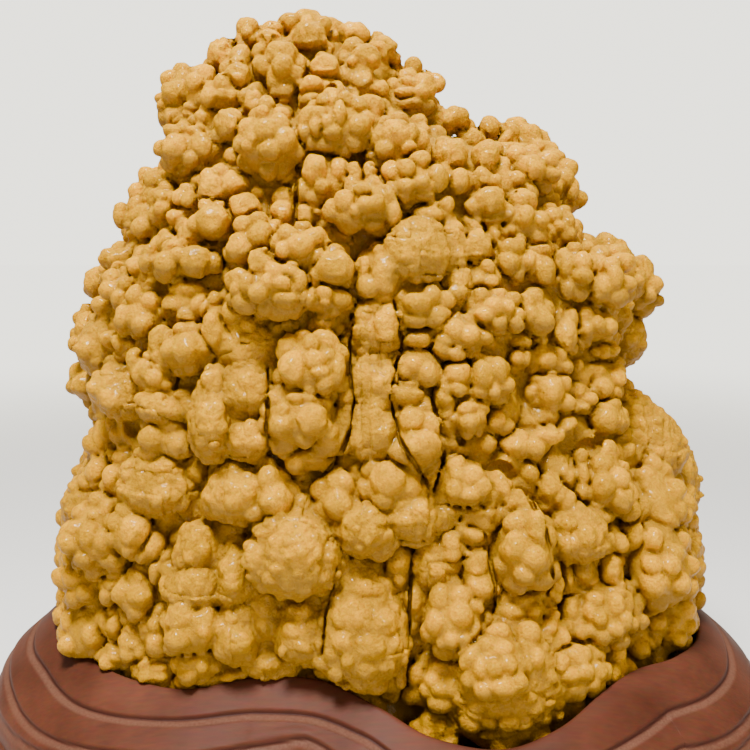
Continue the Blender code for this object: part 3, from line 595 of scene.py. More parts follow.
def grown_heads():
    """Heads round the sides and the back, as balls: staggered rows up the core. In front of the
    sides they are kept only past the columns that the front heads cover, and all are drawn in
    until they hide behind the outline."""
    rng = np.random.default_rng(GROWN_SEED)
    rows = np.arange(LEVELS[0, 0] + 0.02, LEVELS[-1, 0] + 0.01, GROWN_STEP * GROWN_ROW)
    outline = np.array(OUTLINE, float)
    centres, radii, turns = [], [], []
    for row, height in enumerate(rows):
        left, right, front, back = level_at(height)
        half, middle = (right - left) / 2, (left + right) / 2
        count = max(6, round(math.pi * (half + back) / GROWN_STEP))
        for i in range(count):
            angle = 1.5 * math.pi * (i + 0.5 * (row % 2)) / (0.75 * count) - 0.25 * math.pi
            angle += rng.uniform(-GROWN_STRAY[0], GROWN_STRAY[0])
            radius = rng.uniform(*GROWN_RADIUS)
            tall = radius * rng.uniform(*GROWN_TALL)
            lift = rng.uniform(*GROWN_LIFT)
            z = height + rng.uniform(-GROWN_STRAY[1], GROWN_STRAY[1])
            if angle > 1.25 * math.pi:
                continue
            swell = oval_reach(angle)
            x = middle + (half * swell + lift) * math.cos(angle)
            y = ((back if angle % (2 * math.pi) < math.pi else front) * swell + lift) * math.sin(angle)
            offset = np.array([x, y, z]) - EYE
            scale = EYE_DISTANCE / float(offset @ FORWARD)
            down = PLANE_MIDDLE - 1000 * float(offset @ UPWARD) * scale
            across, wide = PLANE_MIDDLE + 1000 * x * scale, 1000 * radius * scale
            low, high = (np.interp(down, outline[:, 0], outline[:, k]) for k in (1, 2))
            behind = SIDE_TURN < angle < math.pi - SIDE_TURN
            seen = wide * SIDE_CLEAR
            if not behind and FRONT_LEFT < across - seen and across + seen < FRONT_RIGHT:
                continue
            inside = min(max(across, low + wide + OUTLINE_CLEAR), high - wide - OUTLINE_CLEAR)
            shift = inside - across
            centres.append((x + shift / scale / 1000, y, z))
            radii.append((radius, radius * GROWN_DEEP, tall))
            turns.append(angle + math.pi / 2)
    return np.array(centres), np.array(radii), turned(HEAD_LEAN, 0.0, np.array(turns))


# The beads
# Every head is studded with rounded beads a few millimetres to two centimetres across. Those of
# the front were placed one by one, and smaller seeded ones fill the rest of each head's skin.
# across, down, half-width, half-height, in millimetres on the plane
BEADS = [
    # the crown, left
    (197, 78, 10, 10), (184, 80, 8, 8), (180, 95, 17, 12), (163, 105, 6, 6), (179, 118, 12, 11),
    (165, 117, 6, 10), (200, 108, 5, 14), (175, 150, 14, 16), (205, 148, 16, 15), (197, 132, 10, 9),
    (208, 98, 9, 10), (222, 95, 12, 9), (208, 115, 8, 11), (209, 70, 7, 11), (222, 57, 14, 15),
    (247, 33, 10, 10), (253, 40, 8, 8), (243, 46, 5, 5), (240, 60, 12, 9), (238, 77, 11, 12),
    (231, 97, 12, 10), (232, 125, 14, 13), (270, 42, 12, 10), (275, 30, 10, 6), (291, 24, 12, 9),
    (307, 22, 7, 7), (288, 50, 14, 12), (310, 38, 20, 19), (308, 55, 12, 10), (262, 55, 10, 7),
    (265, 66, 8, 8), (255, 65, 6, 6), (283, 67, 10, 11), (300, 65, 9, 10), (296, 75, 8, 8),
    (255, 80, 6, 8), (258, 95, 6, 6), (250, 100, 5, 10), (285, 93, 14, 15), (274, 93, 7, 7),
    (310, 85, 12, 8), (312, 102, 11, 8), (318, 114, 8, 7), (304, 110, 7, 6), (326, 90, 6, 7),
    (325, 68, 13, 11), (335, 53, 11, 9), (338, 42, 9, 6), (354, 37, 15, 12), (365, 58, 16, 13),
    (352, 60, 5, 5), (343, 78, 9, 12), (360, 86, 14, 13), (267, 106, 8, 9), (262, 112, 6, 6),
    (281, 115, 8, 7), (333, 100, 5, 8), (345, 100, 8, 8), (357, 106, 11, 10), (340, 113, 6, 12),
    (358, 126, 10, 10), (354, 143, 8, 8), (328, 122, 8, 9), (333, 133, 11, 9), (316, 127, 6, 8),
    (313, 143, 8, 9), (325, 146, 12, 9), (305, 147, 5, 7), (266, 130, 11, 11), (252, 137, 9, 9),
    (248, 145, 10, 10), (284, 140, 12, 12), (270, 150, 10, 10), (240, 145, 6, 6), (296, 132, 6, 10),
    # the crown, right
    (380, 50, 13, 13), (395, 78, 9, 8), (405, 80, 7, 7), (424, 88, 11, 12), (405, 92, 20, 7),
    (410, 103, 20, 8), (393, 105, 10, 8), (400, 115, 15, 10), (437, 123, 16, 11), (455, 117, 12, 9),
    (465, 127, 10, 7), (442, 137, 8, 6), (470, 140, 13, 9), (488, 130, 9, 9), (505, 138, 10, 10),
    (397, 135, 16, 14), (411, 131, 7, 7), (385, 150, 10, 10), (408, 148, 8, 8), (427, 152, 7, 10),
    (450, 155, 14, 14), (440, 143, 5, 5), (486, 158, 12, 15), (512, 150, 8, 6), (500, 147, 8, 8),
    # the left shoulder
    (170, 163, 11, 10), (187, 172, 13, 13), (153, 178, 9, 7), (162, 192, 17, 13), (138, 195, 8, 11),
    (165, 205, 10, 6), (122, 215, 7, 12), (150, 217, 20, 13), (137, 240, 8, 10), (145, 238, 5, 8),
    (190, 200, 10, 11), (180, 225, 8, 8), (197, 207, 8, 7), (218, 205, 9, 4), (213, 222, 16, 16),
    (190, 235, 12, 13), (168, 247, 10, 12), (195, 262, 14, 15), (167, 265, 12, 13), (178, 255, 8, 8),
    (147, 264, 8, 9), (150, 252, 7, 7), (215, 263, 9, 10), (210, 247, 8, 4), (118, 260, 15, 11),
    (137, 260, 10, 8), (98, 283, 13, 16), (112, 278, 8, 8), (127, 284, 8, 8), (135, 295, 8, 9),
    (140, 281, 6, 6), (155, 289, 11, 10), (192, 290, 10, 6), (208, 295, 8, 6),
    # the big cluster and its neighbours
    (269, 169, 9, 9), (273, 186, 10, 7), (257, 178, 8, 8), (285, 170, 10, 12), (258, 192, 6, 6),
    (235, 185, 12, 12), (245, 207, 14, 11), (283, 213, 10, 11), (268, 212, 6, 6), (315, 170, 11, 14),
    (340, 170, 9, 13), (323, 187, 7, 7), (315, 200, 8, 9), (318, 212, 7, 5), (305, 215, 8, 14),
    (325, 215, 9, 12), (355, 172, 6, 11), (370, 172, 6, 10), (345, 202, 12, 13), (362, 190, 8, 6),
    (365, 205, 14, 14), (355, 212, 10, 10), (372, 224, 10, 6), (243, 225, 8, 8), (258, 222, 9, 8),
    (262, 235, 12, 10), (240, 248, 12, 13), (262, 264, 12, 13), (234, 281, 8, 9), (247, 283, 7, 9),
    (235, 300, 9, 8), (288, 235, 9, 8), (312, 238, 10, 8), (300, 245, 12, 10), (283, 250, 7, 7),
    (325, 243, 5, 5), (320, 258, 10, 9), (335, 268, 17, 14), (315, 275, 8, 10), (290, 270, 12, 13),
    (300, 280, 10, 13), (282, 283, 8, 7), (267, 282, 6, 7), (259, 293, 9, 9), (285, 300, 14, 10),
    (307, 298, 9, 9), (325, 293, 9, 9), (325, 302, 6, 4), (265, 308, 8, 8), (345, 303, 10, 10),
    (364, 268, 9, 10), (376, 203, 14, 14), (393, 213, 8, 12), (391, 172, 9, 10), (407, 169, 8, 8),
    (420, 160, 9, 9), (406, 186, 8, 8), (421, 182, 8, 7), (430, 187, 5, 5), (425, 195, 10, 6),
    (404, 197, 7, 7), (406, 208, 7, 6),
    # the right shoulder
    (442, 175, 9, 12), (459, 181, 9, 11), (480, 180, 10, 12), (495, 180, 6, 6), (432, 203, 8, 7),
    (445, 203, 8, 8), (430, 215, 15, 11), (418, 212, 7, 7), (490, 200, 13, 12), (473, 207, 9, 10),
    (488, 226, 8, 9), (437, 267, 9, 9), (457, 287, 12, 17), (476, 247, 14, 14), (468, 268, 6, 6),
    (487, 266, 6, 7), (478, 280, 7, 7), (490, 282, 8, 8), (510, 215, 15, 14), (508, 230, 11, 9),
    (510, 247, 13, 8), (508, 263, 11, 10), (385, 275, 12, 20), (380, 252, 6, 6), (417, 303, 20, 14),
    (493, 307, 17, 15), (548, 160, 10, 8), (530, 170, 14, 12), (550, 175, 9, 7), (540, 187, 9, 9),
    (524, 185, 8, 8), (554, 188, 8, 9), (565, 205, 11, 12), (572, 190, 8, 14), (565, 178, 10, 10),
    (545, 205, 5, 5), (552, 217, 9, 8), (540, 220, 8, 8), (545, 235, 11, 9), (560, 227, 6, 5),
    (567, 235, 8, 8), (568, 222, 6, 8), (525, 215, 12, 14), (530, 245, 6, 7), (543, 250, 7, 6),
    (530, 262, 9, 11), (545, 272, 9, 13),
    # the right arm
    (565, 265, 12, 15), (582, 262, 10, 12), (597, 265, 10, 9), (612, 265, 8, 8), (622, 262, 12, 9),
    (640, 272, 12, 15), (615, 278, 8, 12), (600, 288, 11, 12), (580, 293, 11, 9), (567, 290, 7, 10),
    (630, 287, 8, 10), (647, 295, 8, 8), (620, 302, 9, 6), (637, 303, 8, 7), (525, 303, 14, 14),
    (565, 335, 10, 16), (570, 350, 8, 6), (585, 330, 10, 9), (597, 325, 10, 10), (604, 352, 6, 7),
    (595, 352, 5, 5), (622, 325, 12, 8), (622, 340, 16, 10), (613, 330, 6, 8), (592, 372, 14, 12),
    (600, 388, 13, 12), (617, 368, 8, 10), (572, 372, 5, 5), (575, 390, 9, 9), (591, 399, 7, 6),
    (575, 408, 6, 8), (584, 408, 8, 5), (603, 418, 13, 13), (612, 405, 8, 8), (577, 425, 4, 10),
    # the left side
    (88, 330, 12, 18), (102, 338, 10, 14), (88, 350, 12, 13), (100, 362, 10, 8), (88, 385, 14, 12),
    (92, 398, 8, 10), (123, 318, 8, 12), (125, 330, 8, 6), (143, 325, 9, 10), (116, 335, 6, 8),
    (135, 345, 10, 6), (121, 355, 7, 10), (112, 370, 9, 12), (135, 360, 9, 14), (163, 340, 12, 13),
    (163, 360, 12, 12), (148, 362, 8, 10), (145, 372, 6, 9), (186, 350, 16, 18), (203, 345, 9, 12),
    (182, 330, 8, 6), (196, 330, 8, 6), (190, 318, 13, 10), (155, 378, 14, 12), (165, 385, 12, 8),
    (155, 390, 8, 6), (112, 400, 14, 12), (130, 388, 14, 12), (162, 408, 20, 11), (172, 425, 13, 9),
    (190, 408, 10, 10), (182, 395, 12, 6), (200, 390, 10, 18), (152, 438, 11, 11), (180, 445, 15, 12),
    (108, 435, 12, 18), (105, 455, 12, 10), (215, 385, 13, 16), (213, 420, 14, 22), (215, 330, 12, 20),
    (248, 322, 7, 10), (280, 312, 18, 10), (290, 325, 8, 7), (304, 320, 6, 6), (325, 320, 9, 10),
    (340, 315, 8, 8), (340, 330, 7, 6), (247, 382, 18, 16), (246, 398, 17, 12), (247, 437, 18, 16),
    # the tall cluster left of the crack
    (312, 345, 9, 10), (293, 368, 13, 14), (315, 360, 16, 14), (320, 372, 14, 10), (328, 355, 8, 8),
    (280, 385, 8, 16), (337, 370, 8, 16), (331, 395, 12, 12), (295, 398, 10, 8), (308, 395, 11, 12),
    (284, 410, 8, 8), (282, 425, 14, 15), (312, 420, 12, 14), (325, 430, 12, 10), (305, 440, 10, 8),
    (348, 405, 7, 22), (345, 440, 8, 12), (312, 455, 14, 8), (285, 445, 12, 12), (363, 330, 10, 14),
    (365, 375, 10, 12), (362, 440, 10, 12), (385, 325, 16, 22), (385, 355, 12, 8), (385, 385, 12, 15),
    (385, 430, 12, 25), (385, 455, 10, 8),
    # the middle, right of the crack
    (415, 320, 18, 12), (418, 340, 13, 10), (437, 318, 12, 12), (455, 330, 14, 12), (470, 335, 12, 12),
    (443, 345, 11, 13), (457, 353, 10, 8), (473, 352, 9, 9), (413, 365, 16, 14), (428, 375, 14, 16),
    (405, 372, 10, 10), (408, 395, 15, 14), (425, 405, 10, 8), (395, 405, 7, 12), (412, 420, 12, 12),
    (430, 425, 11, 12), (395, 422, 6, 6), (420, 445, 20, 15), (457, 372, 14, 12), (443, 395, 12, 15),
    (458, 390, 12, 10), (480, 375, 14, 16), (498, 370, 10, 14), (478, 392, 12, 10), (495, 393, 6, 7),
    (466, 408, 12, 8), (470, 422, 11, 10), (448, 420, 10, 11), (496, 420, 8, 9), (488, 408, 6, 6),
    (478, 432, 4, 5), (505, 410, 10, 16), (516, 358, 11, 9), (506, 335, 10, 9), (520, 342, 10, 8),
    (485, 315, 18, 12), (520, 315, 12, 12), (515, 445, 14, 14), (530, 315, 14, 14), (540, 335, 9, 12),
    (526, 358, 6, 8), (542, 350, 10, 8), (548, 360, 13, 13), (537, 380, 8, 6), (532, 392, 9, 8),
    (528, 405, 10, 8), (550, 390, 13, 18), (550, 410, 9, 9), (535, 420, 9, 6), (545, 435, 15, 10),
    # below the middle
    (110, 460, 10, 8), (112, 477, 9, 10), (130, 475, 13, 16), (140, 475, 9, 10), (150, 475, 7, 10),
    (165, 470, 18, 15), (165, 495, 20, 18), (90, 485, 10, 12), (243, 495, 18, 18), (268, 480, 10, 12),
    (275, 500, 14, 14), (258, 558, 13, 16), (272, 578, 10, 9), (297, 548, 29, 28),
    (328, 558, 11, 17), (300, 512, 11, 14),
    (288, 585, 10, 8), (305, 588, 12, 8), (322, 575, 10, 10), (338, 505, 13, 14), (342, 485, 14, 12),
    (358, 475, 10, 12), (364, 528, 21, 20), (350, 545, 9, 9),
    (366, 558, 8, 8), (382, 548, 9, 10), (388, 480, 20, 20),
    (410, 470, 12, 18), (433, 470, 9, 16), (402, 505, 16, 12), (420, 510, 13, 14), (405, 525, 14, 14),
    (398, 560, 12, 14), (382, 555, 8, 10), (400, 590, 10, 14), (438, 535, 6, 14), (198, 548, 16, 20),
    (197, 582, 20, 16), (222, 560, 7, 18), (235, 575, 13, 24), (265, 600, 13, 17), (302, 612, 17, 14),
    (294, 630, 12, 12), (313, 628, 11, 14), (303, 646, 12, 9), (368, 590, 16, 12), (352, 615, 20, 18),
    (382, 622, 17, 16), (345, 642, 14, 13), (368, 645, 15, 12), (392, 642, 11, 12),
    (334, 655, 11, 9), (366, 668, 12, 14), (384, 664, 12, 14), (376, 684, 10, 9),
    (360, 686, 10, 8),
    (400, 672, 6, 14), (268, 645, 13, 12), (272, 662, 18, 12), (325, 662, 14, 9),
    # the left foot
    (108, 510, 16, 18), (95, 515, 12, 10), (88, 535, 12, 16), (105, 540, 15, 14), (130, 510, 12, 10),
    (135, 530, 15, 15), (130, 550, 7, 7), (112, 560, 13, 10), (118, 580, 12, 12), (85, 560, 10, 8),
    (90, 590, 12, 12), (155, 545, 12, 14), (165, 555, 8, 8), (170, 570, 9, 8), (138, 575, 10, 12),
    (155, 572, 6, 10), (140, 597, 15, 10), (112, 603, 7, 6), (163, 598, 10, 10), (85, 615, 10, 13),
    (97, 608, 10, 12), (85, 637, 10, 7), (98, 645, 10, 7), (115, 612, 7, 8), (117, 625, 10, 11),
    (112, 647, 8, 12), (120, 655, 14, 9), (140, 637, 11, 10), (133, 645, 12, 8), (138, 612, 12, 12),
    (160, 610, 10, 10), (157, 625, 9, 8), (157, 645, 10, 12), (145, 663, 7, 7), (160, 668, 12, 10),
    (160, 678, 12, 8), (132, 668, 9, 9), (182, 616, 14, 16), (205, 625, 13, 17), (178, 640, 12, 10),
    (190, 660, 10, 10), (203, 655, 10, 9), (203, 667, 8, 8), (217, 650, 7, 9), (218, 635, 5, 10),
    (217, 665, 8, 9), (178, 667, 7, 7), (190, 680, 14, 10), (240, 615, 14, 14), (238, 640, 15, 16),
    (232, 662, 12, 10), (228, 676, 14, 8),
    # the right foot
    (458, 475, 9, 10), (472, 475, 12, 12), (455, 490, 10, 10), (482, 488, 14, 13), (470, 495, 14, 10),
    (500, 485, 12, 12), (478, 510, 11, 10), (465, 512, 8, 6), (490, 510, 9, 12), (452, 510, 9, 9),
    (443, 515, 8, 12), (440, 498, 6, 12), (452, 540, 12, 14), (462, 528, 10, 9), (474, 534, 11, 9),
    (452, 555, 10, 10), (430, 552, 9, 10), (437, 570, 9, 10), (477, 562, 12, 15), (478, 588, 14, 12),
    (415, 600, 9, 12), (427, 585, 11, 8), (440, 598, 10, 14), (460, 596, 14, 12), (435, 622, 10, 13),
    (428, 632, 8, 10), (460, 613, 15, 17), (452, 640, 10, 10), (465, 640, 9, 8), (475, 632, 6, 9),
    (442, 643, 7, 8), (488, 625, 8, 12), (495, 545, 7, 14), (514, 500, 13, 12), (516, 522, 16, 14),
    (535, 530, 13, 20), (516, 548, 15, 13), (534, 558, 12, 12), (525, 575, 10, 10), (540, 580, 12, 10),
    (550, 592, 9, 9), (505, 598, 11, 12), (522, 600, 12, 9), (512, 612, 12, 9), (532, 610, 10, 9),
    (548, 485, 11, 14), (565, 475, 8, 10), (562, 500, 12, 12), (583, 475, 9, 10), (584, 492, 9, 9),
    (600, 465, 12, 10), (603, 485, 11, 12), (595, 510, 10, 12), (580, 503, 7, 7), (605, 518, 6, 6),
    (620, 500, 11, 13), (618, 478, 10, 10), (635, 488, 9, 8), (640, 510, 8, 14), (645, 488, 6, 7),
    (625, 522, 5, 6), (633, 535, 11, 14), (568, 525, 15, 13), (585, 535, 13, 14), (568, 543, 14, 9),
    (600, 530, 6, 8), (608, 540, 8, 8), (568, 557, 8, 7), (583, 570, 11, 12), (568, 575, 6, 10),
    (609, 568, 10, 15), (605, 552, 9, 8), (657, 495, 9, 10), (658, 510, 8, 8), (660, 530, 10, 12),
    (632, 560, 11, 11), (648, 562, 10, 10), (655, 580, 11, 14), (660, 597, 6, 6), (616, 590, 10, 9),
    (628, 588, 9, 9), (640, 592, 9, 9), (556, 596, 9, 10), (595, 600, 12, 9), (588, 612, 11, 10),
    (600, 618, 9, 8), (615, 605, 9, 11), (625, 620, 7, 9), (570, 610, 8, 12), (566, 628, 9, 10),
    (585, 632, 10, 8), (602, 636, 9, 9), (615, 630, 8, 7), (645, 605, 10, 10), (656, 620, 9, 9),
    (640, 622, 8, 8), (652, 640, 9, 9), (600, 648, 8, 8),
    (444, 665, 14, 10), (432, 680, 10, 12), (455, 685, 13, 14), (440, 690, 10, 9), (424, 690, 9, 9),
    (440, 704, 11, 8), (430, 718, 10, 12), (442, 726, 9, 9), (455, 712, 9, 10), (455, 728, 6, 7),
    (488, 645, 11, 9), (502, 650, 12, 10), (495, 668, 9, 10), (508, 664, 11, 10), (482, 668, 8, 12),
    (484, 690, 9, 9), (502, 688, 13, 9), (504, 700, 8, 7), (520, 648, 8, 8), (524, 664, 9, 11),
    (518, 682, 9, 9), (476, 708, 9, 10), (490, 716, 9, 8), (504, 728, 12, 10), (490, 734, 11, 7),
    (520, 720, 10, 9), (524, 734, 8, 7), (532, 706, 10, 9), (540, 716, 9, 8), (528, 696, 8, 7),
    (545, 628, 12, 12), (545, 642, 10, 8), (552, 662, 16, 12), (575, 656, 14, 11), (566, 674, 14, 9),
    (546, 676, 11, 8), (584, 672, 9, 8), (566, 698, 13, 9), (556, 710, 10, 8), (578, 706, 9, 8),
    (616, 652, 8, 12), (612, 672, 9, 10), (598, 672, 8, 9), (592, 684, 8, 7), (606, 682, 7, 6),
]
BEAD_SWELL = 1.20     # a bead's ball is wider than what its neighbours leave to be seen of it
BEAD_MOST = 0.0150    # widest mean half-size of a bead on a beaded head
BEAD_OVERLAP = 1.40   # most that two beads' radii add up to, in the distance between them
BEAD_SINK = 0.60      # how deep a bead's middle lies in its head, in its own radii
BEAD_LEAST = 0.55     # the least share of its size that a crowded bead keeps
BEAD_DEEP = 1.25      # most that a bead's half-depth comes to, in its smaller half-size
# how far a beaded head's own skin lies inside it, low down and on the crown
HEAD_SHRINK = (0.0040, 0.0062)
CROWN_RISE = (0.34, 0.48)  # heights between which the heads' beads come to stand out more
HEAD_SWELL = 0.0038   # the heads run into one another at their sides
FILLER_GAP = 0.66     # nearest that a seeded bead stands to another, in the sum of their radii
FILLER_CROWD = 8.8    # places tried on a ball, for the square of its size in beads
FILLER_SPREAD = (0.78, 1.22)   # a seeded bead's size, in the mean of its ball's
FILLER_STRETCH = (0.88, 1.15)  # and its half-sizes, in its own size
FILLER_STRAY = 0.05   # how far it strays from its place, in the ball's half-sizes
FILLER_NEAR = 0.03    # how far outside a ball beads are counted as near it
FILLER_RADIUS = (0.0084, 0.0120)
KNOB_RADIUS = (0.0080, 0.0120)  # the beads of the sides and the back
LUMP_RADIUS = (0.0050, 0.0090)  # the low lumps of the smooth heads
FILLER_SINK = 0.62
BIG_BEAD = 0.0118      # beads wider than this carry small ones, except on the smooth heads
SMALL_RADIUS = (0.0046, 0.0066)
SMALL_SINK = 0.78
LUMP_SINK = 0.74
UNDER_STEP = 0.027             # spacing of the lower heads that fill the clefts
UNDER_INSET = (0.007, 0.014)
UNDER_RADIUS = (0.0150, 0.0210)
UNDER_SHAPE = (1.0, 0.9, 1.25)  # their half-sizes, in their radius
UNDER_STRAY = (0.35, 0.30)      # how far they stray round and up, in steps
UNDER_BARE = 0.75               # how far out of every other head they stand: 1 is on its skin
FILLER_SEED = 11


def head_hits(across, down, centres, radii, axes, tapers):
    """For each sight line: how far along it the nearest head is met, and which head that is.
    A true ball is met where the line, in the ball's own axes and half-sizes, is one unit away;
    the hanging shape is then looked for in millimetre steps from 30 mm before to 40 mm behind."""
    steps = sight_steps(across, down)
    start = np.einsum("hi,hij->hj", EYE - centres, axes) / radii
    way = np.einsum("bi,hij->bhj", steps, axes) / radii[None]
    a = (way ** 2).sum(-1)
    b = (way * start[None]).sum(-1)
    c = (start ** 2).sum(-1)[None] - 1
    root = b ** 2 - a * c
    reach = np.where(root > 0, (-b - np.sqrt(np.maximum(root, 0))) / a, np.inf)
    nearest_pass = ((start[None] - (b / a)[..., None] * way) ** 2).sum(-1)
    missed = np.isinf(reach).all(1)
    head = np.where(missed, nearest_pass.argmin(1), reach.argmin(1))
    row = np.arange(len(steps))
    found = np.where(missed, (-b / a)[row, head], reach[row, head])
    length = np.linalg.norm(steps, axis=1)
    places = found[:, None] + np.arange(-0.030, 0.040, 0.001) / length[:, None]
    out = ball_reach(EYE + places[..., None] * steps[:, None], centres, radii, axes, tapers)
    nearest, closest = out.min(-1), out.argmin(-1)
    met = (nearest < 1).any(1)
    first = np.where(met, (nearest < 1).argmax(1), nearest.argmin(1))
    return steps, places[row, first], closest[row, first]


def front_beads(centres, radii, axes, tapers, smooth):
    """The listed beads as balls, each sunk a little into the head that its line meets."""
    marks = np.array(BEADS, float)
    steps, reach, head = head_hits(marks[:, 0], marks[:, 1], centres, radii, axes, tapers)
    middle = EYE + reach[:, None] * steps
    size = BEAD_SWELL * marks[:, 2:4].mean(1) * reach / 1000
    apart = np.linalg.norm(middle[:, None] - middle[None], axis=2) + 9 * np.eye(len(marks))
    give = np.clip((BEAD_OVERLAP * apart / (size[:, None] + size[None])).min(1), BEAD_LEAST, 1.0)
    give = np.where(smooth[head], give, np.minimum(give, BEAD_MOST / size))
    wide, tall = (BEAD_SWELL * give * marks[:, k] * reach / 1000 for k in (2, 3))
    deep = np.minimum((wide + tall) / 2, BEAD_DEEP * np.minimum(wide, tall))
    sink = BEAD_SINK * deep / np.linalg.norm(steps, axis=1)
    place = EYE + (reach + sink)[:, None] * steps
    return place, np.column_stack([wide, deep, tall]), head


def filler_beads(centres, radii, axes, tapers, taken, taken_size, sizes, sink, seed, own=None):
    """Seeded beads over each ball of some: golden-angle points on it, kept where no bead that is
    already there is closer than most of the two radii. Where the balls are beads themselves, `own`
    is each one's number among those. Gives places, half-sizes and which ball carries each."""
    rng = np.random.default_rng(seed)
    spots, radius, owner = [np.empty((0, 3))], [np.empty(0)], [np.empty(0, int)]
    near_all, size_all = taken, taken_size
    for i, (centre, half, turn, taper) in enumerate(zip(centres, radii, axes, tapers)):
        mean = rng.uniform(*sizes)
        count = int(FILLER_CROWD * np.prod(half) ** (2 / 3) / mean ** 2)
        k = np.arange(count) + 0.5
        rise, around = 1 - 2 * k / count, math.pi * (1 + 5 ** 0.5) * k + rng.uniform(0, 6)
        flat = np.sqrt(1 - rise ** 2)
        unit = np.stack([flat * np.cos(around), flat * np.sin(around), rise], 1)
        own_size = mean * rng.uniform(*FILLER_SPREAD, count)
        shell = np.maximum(half - sink * own_size[:, None], 0.002)
        unit += rng.normal(0, FILLER_STRAY, unit.shape)
        unit[:, :2] *= 1 - taper * unit[:, 2:]
        places = centre + (unit * shell) @ turn.T
        close = np.linalg.norm(near_all - centre, axis=1) < half.max() + FILLER_NEAR
        if own is not None:
            close[own[i]] = False
        near, near_size = near_all[close], size_all[close]
        kept = []
        for j in range(count):
            gap = np.linalg.norm(near - places[j], axis=1)
            if (gap > FILLER_GAP * (near_size + own_size[j])).all():
                near, near_size = np.vstack([near, places[j]]), np.append(near_size, own_size[j])
                kept.append(j)
        near_all, size_all = np.vstack([near_all, places[kept]]), np.append(size_all, own_size[kept])
        spots.append(places[kept])
        radius.append(own_size[kept])
        owner.append(np.full(len(kept), i))
    radius = np.concatenate(radius)
    stretch = np.random.default_rng(seed + 1).uniform(*FILLER_STRETCH, (len(radius), 3))
    return np.concatenate(spots), radius[:, None] * stretch, np.concatenate(owner)


def overgrown(beads, carriers, sugar, sizes, sink, seed, own=None):
    """Beads with the seeded ones that stand on some balls added, each as sugary as its carrier."""
    centres, radii, axes, tapers = carriers
    places, halves, carrier = filler_beads(centres, radii, axes, tapers, beads[0], beads[1].mean(1),
                                           sizes, sink, seed, own)
    more = (places, halves, axes[carrier], sugar[carrier])
    return [np.concatenate(pair) for pair in zip(beads, more)]


def under_heads(centres, radii, axes, tapers, seed):
    """Lower heads on the core's face between the others: seeded spots all round it, ring above
    ring, kept where no head covers them."""
    rng = np.random.default_rng(seed)
    spots, turns = [], []
    for height in np.arange(LEVELS[0, 0], LEVELS[-1, 0], UNDER_STEP):
        left, right, front, back = level_at(height)
        half = (right - left) / 2
        count = int(math.pi * (half + (front + back) / 2) / UNDER_STEP)
        angle = np.linspace(0, 2 * math.pi, count, endpoint=False) + rng.uniform(0, 1)
        angle = angle + rng.uniform(-UNDER_STRAY[0], UNDER_STRAY[0], count) * 2 * math.pi / count
        swell = oval_reach(angle)
        reach_y = np.where(np.sin(angle) < 0, front, back)
        inset = rng.uniform(*UNDER_INSET, count)
        rise = rng.uniform(-UNDER_STRAY[1], UNDER_STRAY[1], count) * UNDER_STEP
        spots.append(np.stack([(left + right) / 2 + (half * swell - inset) * np.cos(angle),
                               (reach_y * swell - inset) * np.sin(angle), height + rise], 1))
        turns.append(angle + math.pi / 2)
    spots, turns = np.concatenate(spots), np.concatenate(turns)
    free = ball_reach(spots, centres, radii, axes, tapers).min(1) > UNDER_BARE
    spots, turns = spots[free], turns[free]
    radius = rng.uniform(*UNDER_RADIUS, (len(spots), 1))
    return spots, radius * [UNDER_SHAPE], turned(HEAD_LEAN, 0.0, turns)


# The cracks
# Heads that grew side by side never quite met. The cracks and hollows left between them are
# narrow and dark, for little light gets in.
CRACK_STEP = 1.5       # from one cut to the next down a crack, in millimetres
CRACK_END = 12         # a crack gets narrower over this length at either end
CRACK_SWAY = 9         # from one change of its width to the next
CRACK_WIDTHS = (0.15, 1.0)  # the widths it changes between, as shares of its full one
CRACK_TIP = 0.3        # its width at its very end, in the same way
CRACK_SIZE = (0.0018, 0.0100, 0.0040)  # half-sizes of a cut: across the crack, inwards, along it
CRACK_SINK = 0.003     # how far in from the heads' skin a cut's middle lies
CRACK_SEED = 3
CRACK_BLEND = 0.0015   # how far its edges are rounded
# points down each crack, across and down on the plane
CRACKS = [
    [(356, 312), (351, 340), (350, 365), (352, 385), (354, 403), (351, 428), (342, 450), (333, 464),
     (320, 478)],
    [(393, 304), (397, 320), (402, 340), (401, 352), (395, 365), (393, 380), (390, 397), (394, 422),
     (402, 444), (414, 462), (427, 482)],
    [(430, 392), (435, 415), (442, 434), (444, 453), (440, 470), (435, 488)],
    [(528, 497), (535, 510), (545, 528), (550, 552), (553, 580), (547, 594)],
    [(486, 536), (491, 565), (496, 585), (493, 614)],
    [(267, 372), (267, 409), (267, 440)],
    [(297, 180), (297, 200), (295, 222)],
    [(336, 570), (331, 595), (326, 617), (323, 652)],
    [(412, 564), (411, 590), (408, 634)],
]
# hollows under overhanging heads: across, down, half-width, half-height
HOLLOWS = [
    (499, 468, 12, 7), (512, 476, 8, 6), (572, 440, 12, 14), (590, 446, 12, 8), (600, 440, 9, 7),
    (246, 116, 6, 5), (332, 89, 5, 4), (132, 427, 8, 9), (170, 315, 8, 6), (460, 440, 5, 6),
    (411, 711, 8, 9), (306, 664, 7, 4), (340, 682, 9, 5),
]


